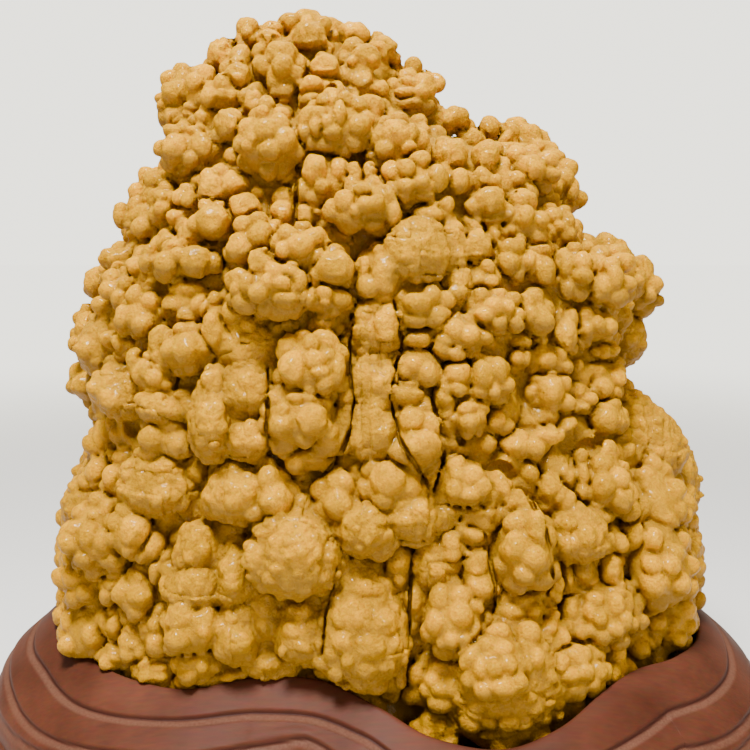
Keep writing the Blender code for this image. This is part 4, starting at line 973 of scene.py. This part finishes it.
def crack_cuts(centres, radii, axes, tapers):
    """The cracks and hollows as balls to be cut out of the heads' face: centres, half-sizes and
    axes, which point across the crack, into the stone and along the crack."""
    rng = np.random.default_rng(CRACK_SEED)
    spots, ways, sizes = [], [], []
    for crack in CRACKS:
        marks = np.array(crack, float)
        length = np.append(0, np.cumsum(np.linalg.norm(np.diff(marks, axis=0), axis=1)))
        at = np.arange(0, length[-1], CRACK_STEP)
        points = np.stack([np.interp(at, length, marks[:, i]) for i in (0, 1)], 1)
        spots.append(points)
        ways.append(np.gradient(points, axis=0) / CRACK_STEP)
        close = np.clip(np.minimum(at, length[-1] - at) / CRACK_END, CRACK_TIP, 1)
        changes = CRACK_SWAY * np.arange(45)
        close = close * np.interp(at, changes, rng.uniform(*CRACK_WIDTHS, len(changes)))
        sizes.append(np.array(CRACK_SIZE) * np.stack([close, close ** 0.5, np.ones_like(close)], 1))
    hollows = np.array(HOLLOWS, float)
    spots = np.vstack(spots + [hollows[:, :2]])
    ways = np.vstack(ways + [np.tile([0.0, 1.0], (len(hollows), 1))])
    sizes = np.vstack(sizes + [np.insert(hollows[:, 2:] / 1000, 1, CRACK_SIZE[1], axis=1)])
    steps, reach, _ = head_hits(spots[:, 0], spots[:, 1], centres, radii, axes, tapers)
    inwards = steps / np.linalg.norm(steps, axis=1)[:, None]
    along = ways[:, :1] * RIGHT - ways[:, 1:] * UPWARD
    across = np.cross(inwards, along)
    across /= np.linalg.norm(across, axis=1)[:, None]
    along = np.cross(across, inwards)
    places = EYE + reach[:, None] * steps + CRACK_SINK * inwards
    return places, sizes, np.stack([across, inwards, along], 2)


# The skin
# Core, heads and beads have grown into one another. Their joint skin is taken from a field: the
# distance from each point of a grid to the nearest ball, with the creases between balls rounded.
FINE_CELL = 0.0016    # grid step on the face that the camera sees
COARSE_CELL = 0.0040  # grid step round the sides, the back and the foot
ROUGH_CELL = 0.0050   # grid step of the field that tells open faces from clefts
SUNKEN = (0.26, 0.62)  # share of stone round a place that stands right out, and in a cleft
FACE_END = 0.012      # where the fine skin ends, behind the middle plane
FOOT_HIDDEN = 0.006   # how far the fine skin runs down behind the stand's rim
HEAD_BLEND = (0.0022, 0.0065)  # beaded heads, smooth heads
BEAD_BLEND = 0.0017
VALLEY_DEPTH = np.float32(0.0024)  # heads meet in a valley, where they are equally near
VALLEY_WIDTH = 0.0022
TONE_SEED = 5
SEAT_BLEND = 0.0050
SEAT_LIFT = 0.0020    # the beads curl up from the wood by this much outside the recess
SEAT_CURL = 0.010     # the curl starts this far inside the rim
SEAT_CURL_WIDTH = 0.006
SEAT_TOP = 0.155      # height above which no wood touches the stone
WALL_FOOT, WALL_TOP = -0.006, -0.002  # where the recess's wall starts and ends, out from the rim
SKIN_REACH = 0.0075   # how far from its skin a ball shapes the field of the joint skin
ROUGH_REACH = 0.034   # the same for the rough field
CUT_REACH = 0.002
CREASE_REACH = 0.0035  # how far out from the skin the field is read, to tell a crease
SLOPE_REACH = 0.006
FIELD_FAR = 0.05       # a field's value where no head is near
# how far a place hangs under: its value on an upright face, then what the slope of its head and
# that of the skin itself take off it
HANG_UPRIGHT, HANG_HEAD, HANG_SKIN = 0.5, 0.65, 0.25
STONE_LOW = np.array([-0.350, -0.245, 0.040])
STONE_HIGH = np.array([0.360, 0.215, 0.712])
ROUGH_LOW, ROUGH_HIGH = STONE_LOW - 0.04, STONE_HIGH + 0.04


def wood_height(x, y):
    """Height of the wood's upper face at points seen from above, how far outside the rim each is,
    and the rim's height there. Inside is the recess's floor and wall, outside the carved face."""
    stations, normals = rim_stations(RIM_STATIONS)
    spots = np.stack([x.ravel(), y.ravel()], -1)
    nearest = np.concatenate([
        ((part[:, None] - stations[None, :, :2]) ** 2).sum(-1).argmin(1)
        for part in np.array_split(spots, 60)])
    out = ((spots - stations[nearest, :2]) * normals[nearest]).sum(1)
    rim, first, second = stations[nearest, 2:5].T
    outs, drops = carved_profile(first, second)
    rise = np.clip((out - WALL_FOOT) / (WALL_TOP - WALL_FOOT), 0, 1)
    height = RECESS_FLOOR + rise * (rim - WALL_DROP - RECESS_FLOOR)
    height = np.where((out >= WALL_TOP) & (out < 0), rim + out * WALL_DROP / -WALL_TOP, height)
    for k in range(outs.shape[1] - 1):
        step = np.maximum(outs[:, k + 1] - outs[:, k], 1e-6)
        part = (out - outs[:, k]) / step
        here = (part >= 0) & (part <= 1)
        drop = drops[:, k] + part * (drops[:, k + 1] - drops[:, k])
        height = np.where(here, rim - drop * rim / RIM_REFERENCE, height)
    height = np.where(out > outs.max(1), 0.0, height)
    return height.reshape(x.shape), out.reshape(x.shape), rim.reshape(x.shape)


def blended(one, other, width):
    """The smaller of two fields, with the crease rounded: where they differ by less than `width`,
    a quarter of the width times the square of what is left of it is taken off."""
    share = np.maximum(width - np.abs(one - other), 0) / width
    return np.minimum(one, other) - 0.25 * width * share ** 2


def core_field(low, high, cell):
    """The core's distance on a grid from low to high, set in behind the heads' face."""
    x, y, z = (np.arange(a, b, cell) for a, b in zip(low, high))
    field = core_distance(x[:, None, None], y[None, :, None], z[None, None, :])
    return (field + CORE_INSET).astype(np.float32)


def ball_field(shape, low, cell, ball, margin):
    """One ball's distance field on the part of a grid within `margin` of its skin, and which part
    that is. The distance is near enough k(k - 1)/g, where k is a point's length in the ball's
    half-sizes and g in their squares."""
    centre, radii, axes, taper = ball
    reach = np.sqrt(((axes * radii * [1 + taper, 1 + taper, 1]) ** 2).sum(1)) + margin
    first = np.clip(np.ceil((centre - reach - low) / cell), 0, shape).astype(int)
    last = np.clip(np.floor((centre + reach - low) / cell) + 1, first, shape).astype(int)
    window = tuple(slice(a, b) for a, b in zip(first, last))
    steps = [(low[i] + cell * np.arange(first[i], last[i]) - centre[i]).astype(np.float32)
             for i in range(3)]
    x, y, z = steps[0][:, None, None], steps[1][None, :, None], steps[2][None, None, :]
    parts = [(x * np.float32(axes[0, j]) + y * np.float32(axes[1, j]) + z * np.float32(axes[2, j]))
             / np.float32(radii[j]) for j in range(3)]
    width = 1 - np.float32(taper) * np.clip(parts[2], -1, 1)
    parts[0], parts[1] = parts[0] / width, parts[1] / width
    k = np.sqrt(parts[0] ** 2 + parts[1] ** 2 + parts[2] ** 2)
    g = np.sqrt(((parts[0] / np.float32(radii[0])) ** 2 + (parts[1] / np.float32(radii[1])) ** 2) / width ** 2
                + (parts[2] / np.float32(radii[2])) ** 2)
    return window, k * (k - 1) / np.maximum(g, np.float32(1e-3))


def add_ball(field, owner, low, cell, ball, number, blend, margin):
    """Joins one ball to a field, and notes its number where it is the nearest."""
    window, distance = ball_field(field.shape, low, cell, ball, margin)
    before = field[window]
    if owner is not None:
        owner[window][distance < before] = number
    field[window] = blended(before, distance, np.float32(blend))
    return window, distance


def cut_to_wood(field, low, cell):
    """Cuts a field off at the wood, with a rounded edge where the stone hangs over the rim."""
    nx, ny = field.shape[:2]
    x, y = np.meshgrid(low[0] + cell * np.arange(nx), low[1] + cell * np.arange(ny), indexing="ij")
    height, out, _ = wood_height(x, y)
    height += SEAT_GAP + SEAT_LIFT * np.clip((out + SEAT_CURL) / SEAT_CURL_WIDTH, 0, 1)
    levels = int((SEAT_TOP - low[2]) / cell)
    z = low[2] + cell * np.arange(levels)
    above = (z[None, None, :] - height[:, :, None]).astype(np.float32)
    field[:, :, :levels] = -blended(-field[:, :, :levels], above, np.float32(SEAT_BLEND))


def skin_of(field, low, cell):
    """The zero skin of a field: a point in each grid cell that it passes through, at the mean of
    the places where it crosses the cell's edges, and a four-sided face round each grid edge that
    it crosses, facing from inside to outside."""
    inside = field < 0
    some, every = inside, inside
    for axis in range(3):
        cut_low = tuple(slice(0, -1) if i == axis else slice(None) for i in range(3))
        cut_high = tuple(slice(1, None) if i == axis else slice(None) for i in range(3))
        some, every = some[cut_low] | some[cut_high], every[cut_low] & every[cut_high]
    mixed = some & ~every
    cells = np.stack(np.nonzero(mixed), 1)
    number = np.full(mixed.shape, -1, np.int32)
    number[mixed] = np.arange(len(cells))
    total = np.zeros((len(cells), 3))
    crossings = np.zeros(len(cells))
    for axis in range(3):
        for offset in ((0, 0), (0, 1), (1, 0), (1, 1)):
            start = np.insert(np.array(offset), axis, 0)
            end = np.insert(np.array(offset), axis, 1)
            a = field[tuple((cells + start).T)]
            b = field[tuple((cells + end).T)]
            crossed = (a < 0) != (b < 0)
            share = np.where(crossed, a / np.where(crossed, a - b, 1), 0)
            total += np.where(crossed[:, None], start + share[:, None] * (end - start), 0)
            crossings += crossed
    points = low + cell * (cells + total / crossings[:, None])
    faces = []
    for axis in range(3):
        one, two = (axis + 1) % 3, (axis + 2) % 3
        cut_low = tuple(slice(0, -1) if i == axis else slice(1, -1) for i in range(3))
        cut_high = tuple(slice(1, None) if i == axis else slice(1, -1) for i in range(3))
        outward = inside[cut_low] & ~inside[cut_high]
        inward = inside[cut_high] & ~inside[cut_low]
        for crossed, turn in ((outward, 1), (inward, -1)):
            place = np.stack(np.nonzero(crossed), 1)
            place[:, one] += 1
            place[:, two] += 1
            corners = []
            for step_one, step_two in ((-1, -1), (0, -1), (0, 0), (-1, 0))[::turn]:
                at = place.copy()
                at[:, one] += step_one
                at[:, two] += step_two
                corners.append(number[tuple(at.T)])
            faces.append(np.stack(corners, 1))
    return points, np.concatenate(faces)


def sampled(field, low, cell, points):
    """A field's values at points, blended between the eight corners of each point's grid cell."""
    place = np.clip((points - low) / cell, 0, np.array(field.shape) - 1.001)
    whole = place.astype(int)
    part = place - whole
    total = np.zeros(len(points))
    for corner in np.ndindex(2, 2, 2):
        weight = np.prod(np.where(corner, part, 1 - part), axis=1)
        total += weight * field[tuple((whole + corner).T)]
    return total


def sampled_slope(field, low, cell, points):
    """The direction in which a field grows at points, from its values a little to either side."""
    step = SLOPE_REACH * np.eye(3)
    slope = np.stack([sampled(field, low, cell, points + one) - sampled(field, low, cell, points - one)
                      for one in step], 1)
    return slope / np.maximum(np.linalg.norm(slope, axis=1), 1e-9)[:, None]


def lattice_noise(points, scale, seed):
    """Smooth noise from -1 to 1: random values at the corners of cubes `scale` wide, blended
    between the corners by 3t^2 - 2t^3."""
    values = np.random.default_rng(seed).uniform(-1, 1, (64, 64, 64))
    place = points / scale
    whole = np.floor(place).astype(int)
    part = place - whole
    part = part * part * (3 - 2 * part)
    total = np.zeros(len(points))
    for corner in np.ndindex(2, 2, 2):
        weight = np.prod(np.where(corner, part, 1 - part), axis=1)
        total += weight * values[tuple(((whole + corner) % 64).T)]
    return total


def point_normals(points, faces):
    """The normal at each point: the sum of its faces' normals, each the cross product of the
    face's diagonals."""
    across = points[faces[:, 2]] - points[faces[:, 0]]
    along = points[faces[:, 3]] - points[faces[:, 1]]
    face = np.cross(across, along)
    total = np.stack([np.bincount(faces.ravel(), np.repeat(face[:, i], 4), len(points))
                      for i in range(3)], 1)
    return total / np.maximum(np.linalg.norm(total, axis=1), 1e-12)[:, None]


def rumpled(points, normals, sugar):
    """Points moved a little so that no ball stays a true ball: 1.2 mm sideways by noise 13 mm
    wide, then 0.6 mm in and out by noise 7 mm wide and 0.4 mm by noise 3.5 mm wide. Sugary skin
    also swells into lumps with sharp creases between them, by noise without its sign."""
    moved = points + 0.0012 * np.stack([lattice_noise(points, 0.013, s) for s in (1, 2, 3)], 1)
    lift = 0.0006 * lattice_noise(points, 0.0070, 4) + 0.0004 * lattice_noise(points, 0.0035, 5)
    lumps = 0.0026 * np.abs(lattice_noise(points, 0.0120, 6))
    lumps += 0.0014 * np.abs(lattice_noise(points, 0.0060, 7))
    return moved + (lift + sugar * lumps)[:, None] * normals


def patch(name, points, faces, normals, values, material):
    """A mesh object of some of the skin's faces, with its own points' normals and values."""
    used, corners = np.unique(faces, return_inverse=True)
    made = new_mesh(name, points[used], [corners.reshape(faces.shape)],
                    {key: value[used] for key, value in values.items()}, material)
    made.data.normals_split_custom_set_from_vertices(normals[used].astype(np.float32))
    return made


# the heads, then the lower ones in the clefts between them
front_centres, front_radii, front_axes, front_smooth = front_heads()
swellings = slice(len(HEADS), len(HEADS) + len(SWELLINGS))
front_radii[swellings] -= SWELLING_SINK
grown_centres, grown_radii, grown_axes = grown_heads()
grown_smooth = np.random.default_rng(GROWN_SEED + 1).uniform(size=len(grown_centres)) < GROWN_BARE

head_centres = np.vstack([front_centres, grown_centres])
head_radii = np.vstack([front_radii, grown_radii]) + [HEAD_SWELL, 0.0, HEAD_SWELL]
head_tapers = np.clip(HEAD_TAPER[1] * head_radii[:, 2] / head_radii[:, 0], HEAD_TAPER[0], HEAD_TAPER[2])
head_tapers[swellings] = 0.0
head_axes = np.concatenate([front_axes, grown_axes])
head_smooth = np.concatenate([front_smooth, grown_smooth])
front = slice(0, len(front_centres))
bead_centres, bead_radii, bead_heads = front_beads(
    front_centres, front_radii, front_axes, head_tapers[front], front_smooth)
under_centres, under_radii, under_axes = under_heads(
    head_centres, head_radii, head_axes, head_tapers, FILLER_SEED + 4)
head_centres = np.vstack([head_centres, under_centres])
head_radii = np.vstack([head_radii, under_radii])
head_axes = np.concatenate([head_axes, under_axes])
head_tapers = np.append(head_tapers, np.full(len(under_centres), HEAD_TAPER[0]))
head_smooth = np.concatenate([head_smooth, np.zeros(len(under_centres), bool)])
head_front = np.arange(len(head_centres)) < len(front_centres)

# centres, half-sizes, axes and sugar of all beads: the larger ones, those between them, the lumps
# of the smooth heads, and the small beads on the big ones
beads = [bead_centres, bead_radii, front_axes[bead_heads], front_smooth[bead_heads]]
for chosen, sizes, sink in ((~head_smooth & head_front, FILLER_RADIUS, FILLER_SINK),
                            (~head_smooth & ~head_front, KNOB_RADIUS, FILLER_SINK),
                            (head_smooth, LUMP_RADIUS, LUMP_SINK)):
    carriers = [part[chosen] for part in (head_centres, head_radii, head_axes, head_tapers)]
    beads = overgrown(beads, carriers, head_smooth[chosen], sizes, sink, FILLER_SEED + len(beads[0]))
big_beads = [np.flatnonzero((beads[1].mean(1) > BIG_BEAD) & (beads[3] == sugar))
             for sugar in (False, True)]
for big, sizes, sink in zip(big_beads, (SMALL_RADIUS, LUMP_RADIUS), (SMALL_SINK, LUMP_SINK)):
    carriers = [part[big] for part in beads[:3]] + [np.zeros(len(big))]
    beads = overgrown(beads, carriers, beads[3][big], sizes, sink, FILLER_SEED + 2, big)
bead_centres, bead_radii, bead_axes, bead_sugar = beads

cuts = [(c, r, a, 0.0) for c, r, a in zip(*crack_cuts(head_centres, head_radii, head_axes, head_tapers))]
head_shrink = np.where(head_smooth, 0.0, np.interp(head_centres[:, 2], CROWN_RISE, HEAD_SHRINK))
head_radii = np.maximum(head_radii - head_shrink[:, None], 0.004)

balls = [(c, r, a, t) for c, r, a, t in zip(head_centres, head_radii, head_axes, head_tapers)]
balls += [(c, r, a, 0.0) for c, r, a in zip(bead_centres, bead_radii, bead_axes)]
blends = np.append(np.where(head_smooth, HEAD_BLEND[1], HEAD_BLEND[0]),
                   np.full(len(bead_centres), BEAD_BLEND))
tones = np.random.default_rng(TONE_SEED).uniform(-1, 1, len(balls) + 1)
sugars = np.concatenate([head_smooth, bead_sugar, [False]]).astype(np.float32)

rough = core_field(ROUGH_LOW, ROUGH_HIGH, ROUGH_CELL)
for ball in balls[:len(head_centres)]:
    add_ball(rough, None, ROUGH_LOW, ROUGH_CELL, ball, 0, HEAD_BLEND[0], ROUGH_REACH)


def grown_skin(low, high, cell):
    """The stone's skin on one grid: points, faces, normals, and each point's values: its ball's
    tone, how far it is from a crease, how far it hangs under, and how sugary it is. Between two
    beaded heads the skin is sunk by the valley's depth times exp(-(d/w)^2), where w is its width
    and d is how much nearer the one head is than the other."""
    field = core_field(low, high, cell)
    owner = np.full(field.shape, len(balls), np.int16)
    nearest, second = (np.full(field.shape, FIELD_FAR, np.float32) for _ in range(2))
    for number, (ball, blend) in enumerate(zip(balls, blends)):
        window, distance = add_ball(field, owner, low, cell, ball, number, blend, SKIN_REACH)
        if number < len(head_centres) and not head_smooth[number]:
            second[window] = np.minimum(second[window], np.maximum(nearest[window], distance))
            nearest[window] = np.minimum(nearest[window], distance)
    field += VALLEY_DEPTH * np.exp(-((second - nearest) / np.float32(VALLEY_WIDTH)) ** 2)
    for cut in cuts:
        window, distance = ball_field(field.shape, low, cell, cut, CUT_REACH)
        field[window] = -blended(-field[window], distance, np.float32(CRACK_BLEND))
    cut_to_wood(field, low, cell)
    points, faces = skin_of(field, low, cell)
    normals = point_normals(points, faces)
    lobes = sampled_slope(rough, ROUGH_LOW, ROUGH_CELL, points)
    place = np.clip(np.rint((points - low) / cell).astype(int), 0, np.array(field.shape) - 1)
    values = {
        "tone": tones[owner[tuple(place.T)]],
        "crease": np.clip(sampled(field, low, cell, points + CREASE_REACH * normals)
                          / CREASE_REACH, 0, 1),
        "under": np.clip(HANG_UPRIGHT - HANG_HEAD * lobes[:, 2] - HANG_SKIN * normals[:, 2], 0, 1),
    }
    values["sugar"] = np.clip(sampled(sugars[owner], low, cell, points), 0, 1)
    points = rumpled(points, normals, values["sugar"])
    return points, faces, point_normals(points, faces), values


def stone_share(field):
    """The share of stone round each place of a field: 1 in stone and 0 in air, averaged over
    cubes five cells wide, three times over."""
    share = np.clip(0.5 - field / ROUGH_CELL, 0, 1)
    for axis in (0, 1, 2) * 3:
        share = sum(np.roll(share, step, axis) for step in (-2, -1, 0, 1, 2)) / 5
    return share


stone_near = stone_share(rough)


def sunken(points):
    """How far each point is sunk between heads: 0 on a belly that stands out, 1 in a cleft."""
    share = sampled(stone_near, ROUGH_LOW, ROUGH_CELL, points)
    return np.clip((share - SUNKEN[0]) / (SUNKEN[1] - SUNKEN[0]), 0, 1)


# where the fine skin gives way to the coarse one: past FACE_END, and behind the stand's rim
RIM_CELL = 0.002
FACE_OVERLAP = 1.2 * COARSE_CELL  # how far the coarse skin runs on behind the fine one's edge
map_x, map_y = np.meshgrid(np.arange(STONE_LOW[0], STONE_HIGH[0], RIM_CELL),
                           np.arange(STONE_LOW[1], STONE_HIGH[1], RIM_CELL), indexing="ij")
_, rim_out, rim_height = wood_height(map_x, map_y)


def on_the_face(points, faces, overlap):
    """Which faces lie before the fine skin's end and above the hidden foot, each bound moved in by
    `overlap`."""
    middle = points[faces].mean(1)
    column = np.rint((middle[:, :2] - STONE_LOW[:2]) / RIM_CELL).astype(int)
    column = tuple(np.clip(column, 0, np.array(rim_out.shape) - 1).T)
    sunk = (rim_out[column] < -0.001) & (middle[:, 2] < rim_height[column] - FOOT_HIDDEN + overlap)
    return (middle[:, 1] < FACE_END - overlap) & ~sunk


def nearest_region(points, faces, regions):
    """The number of the region whose middle is nearest to each face."""
    middle = points[faces].mean(1)
    return ((middle[:, None] - np.array(regions)[None]) ** 2).sum(-1).argmin(1)


FACE_REGIONS = {
    "crown": (-0.05, -0.06, 0.60), "left_shoulder": (-0.19, -0.11, 0.46),
    "right_shoulder": (0.13, -0.10, 0.50), "right_arm": (0.24, -0.10, 0.36),
    "breast": (0.00, -0.15, 0.36), "left_foot": (-0.21, -0.14, 0.22),
    "middle_foot": (-0.02, -0.17, 0.18), "right_foot": (0.18, -0.16, 0.20),
}
BACK_REGIONS = {
    "left_side": (-0.27, 0.04, 0.24), "right_side": (0.28, 0.04, 0.24),
    "back_top": (0.00, 0.10, 0.50), "back": (0.00, 0.18, 0.24), "seat": (0.00, 0.00, 0.05),
}


def honey_calcite():
    """Honey calcite: translucent, sugary and wet-glossed, with painted shade that makes it browner and darker
    where it lies deep.
    """
    stone = Finish(bpy.data.materials.new("honey_calcite"))
    white, black = (1.0, 1.0, 1.0), (0.0, 0.0, 0.0)
    tone = stone.maths("MULTIPLY_ADD", stone.attribute("tone"), 0.20, 0.26)
    blotch = stone.maths("MULTIPLY", stone.noise(22.0, 5.0, 0.6), 0.50)
    skin = stone.ramp(stone.maths("ADD", tone, blotch),
                      (0.10, (0.38, 0.178, 0.0)), (0.42, (0.56, 0.268, 0.0)),
                      (0.72, (0.73, 0.334, 0.0)), (0.98, (0.88, 0.410, 0.0)))
    speckle = stone.ramp(stone.noise(380.0, 3.0, 0.6), (0.34, (0.60, 0.50, 0.30)), (0.58, white))
    skin = stone.mix(0.50, skin, speckle, "MULTIPLY")
    # painted shade: browner and darker in turn where beads meet, under the heads, deep in the clefts and in
    # the cracks, as little light falls there
    painted_crease_shade = stone.ramp(stone.attribute("crease"), (0.35, white), (0.96, black))
    skin = stone.mix(painted_crease_shade, skin, (0.330, 0.152, 0.0))
    # painted shade under the heads, where the light from above does not reach
    painted_underside_shade = stone.grey_ramp(stone.attribute("under"), (0.30, 0.0), (0.80, 0.90))
    skin = stone.mix(painted_underside_shade, skin, (0.27, 0.134, 0.012))
    # painted shade deep in the clefts between the heads
    deep = stone.grey_ramp(stone.attribute("cleft"), (0.0, 0.0), (0.40, 0.45), (0.80, 1.0))
    skin = stone.mix(deep, skin, (0.31, 0.150, 0.006))
    # painted shade, the darkest, in the cracks
    painted_crack_shade = stone.ramp(stone.attribute("crease"), (0.02, white), (0.34, black))
    skin = stone.mix(painted_crack_shade, skin, (0.170, 0.070, 0.004))

    pits = stone.added("TexVoronoi", "Distance", {"Vector": stone.place(), "Scale": 240.0})
    pits = stone.maths("MULTIPLY", pits, stone.attribute("sugar"))
    body = stone.maths("MULTIPLY_ADD", pits, -0.45, stone.noise(230.0, 4.0, 0.6))
    grain = stone.maths("MULTIPLY_ADD", stone.noise(620.0, 3.0, 0.7), 0.5, body)
    stone.feed_all(stone.nodes["Principled BSDF"], {
        "Base Color": skin,
        "Roughness": stone.grey_ramp(stone.noise(220.0, 3.0, 0.6), (0.30, 0.30), (0.70, 0.55)),
        "Normal": stone.bump(grain, 1.0, 0.0024),
        "Subsurface Weight": 0.25,
        "Subsurface Radius": (1.0, 0.60, 0.12),
        "Subsurface Scale": 0.004,
        "Coat Weight": 0.13,
        "Coat Roughness": 0.13,
        "Specular IOR Level": 0.06,
        "Specular Tint": (1.0, 0.66, 0.12),
    })
    return stone.owner


skin_material = honey_calcite()
fine_high = np.array([STONE_HIGH[0], FACE_END + 4 * COARSE_CELL, STONE_HIGH[2]])
for high, cell, regions, on_face in ((fine_high, FINE_CELL, FACE_REGIONS, True),
                                     (STONE_HIGH, COARSE_CELL, BACK_REGIONS, False)):
    points, faces, normals, values = grown_skin(STONE_LOW, high, cell)
    values["cleft"] = sunken(points)
    if on_face:
        faces = faces[on_the_face(points, faces, 0.0)]
    else:
        faces = faces[~on_the_face(points, faces, FACE_OVERLAP)]
    region = nearest_region(points, faces, list(regions.values()))
    for number, name in enumerate(regions):
        piece = patch("stone_" + name, points, faces[region == number], normals, values, skin_material)
        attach(piece, "root")
        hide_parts("stone")


# The studio
# A plain pale floor, a broad soft light from the upper left in front, a weaker one from the right
# and a pale sky all round. To the camera, floor and sky fade into one even pale ground.
GROUND_SIDE = 28.0
GROUND_COLOUR = (1.0, 0.975, 0.87)
STONE_MIDDLE = Vector((0, 0, 0.33))

half_side = GROUND_SIDE / 2
floor_mesh = bpy.data.meshes.new("floor")
floor_mesh.from_pydata([(-half_side, -half_side, 0), (half_side, -half_side, 0),
                        (half_side, half_side, 0), (-half_side, half_side, 0)], [], [(0, 1, 2, 3)])
paint = Finish(bpy.data.materials.new("pale_floor"))
plain = paint.nodes["Principled BSDF"]
paint.feed_all(plain, {"Base Color": (0.82, 0.81, 0.78), "Roughness": 0.8})
away = paint.added("VectorMath", "Value", {0: paint.place()}, operation="LENGTH")
fade = paint.added("MapRange", "Result", {"Value": away, "From Min": 0.7, "From Max": 3.2},
                   interpolation_type="SMOOTHSTEP")
glow = paint.added("Emission", "Emission", {"Color": GROUND_COLOUR, "Strength": 2.5})
shown = paint.maths("MULTIPLY", fade, paint.added("LightPath", "Is Camera Ray"))
ground = paint.added("MixShader", "Shader", {0: shown, 1: plain.outputs["BSDF"], 2: glow})
paint.feed(paint.nodes["Material Output"].inputs["Surface"], ground)
floor_mesh.materials.append(paint.owner)
floor = bpy.data.objects.new("floor", floor_mesh)
bpy.context.scene.collection.objects.link(floor)

for name, place, size, power in (("key", (-0.32, -0.95, 2.45), 0.6, 158.0),
                                 ("fill", (1.2, -1.9, 0.9), 1.6, 14.0),
                                 ("top", (0.1, 0.6, 2.2), 1.6, 16.0)):
    lamp = bpy.data.objects.new(name, bpy.data.lights.new(name, "AREA"))
    lamp.data.size = size
    lamp.data.energy = power
    lamp.location = place
    lamp.rotation_euler = (STONE_MIDDLE - Vector(place)).to_track_quat("-Z", "Y").to_euler()
    bpy.context.scene.collection.objects.link(lamp)

sky = Finish(bpy.data.worlds.new("studio"))
bpy.context.scene.world = sky.owner
sky.feed_all(sky.nodes["Background"], {"Color": (0.92, 0.84, 0.68), "Strength": 0.50})
wall = sky.added("Background", "Background", {"Color": GROUND_COLOUR, "Strength": 2.6})
either = sky.added("MixShader", "Shader", {0: sky.added("LightPath", "Is Camera Ray"),
                                           1: sky.nodes["Background"].outputs["Background"], 2: wall})
sky.feed(sky.nodes["World Output"].inputs["Surface"], either)
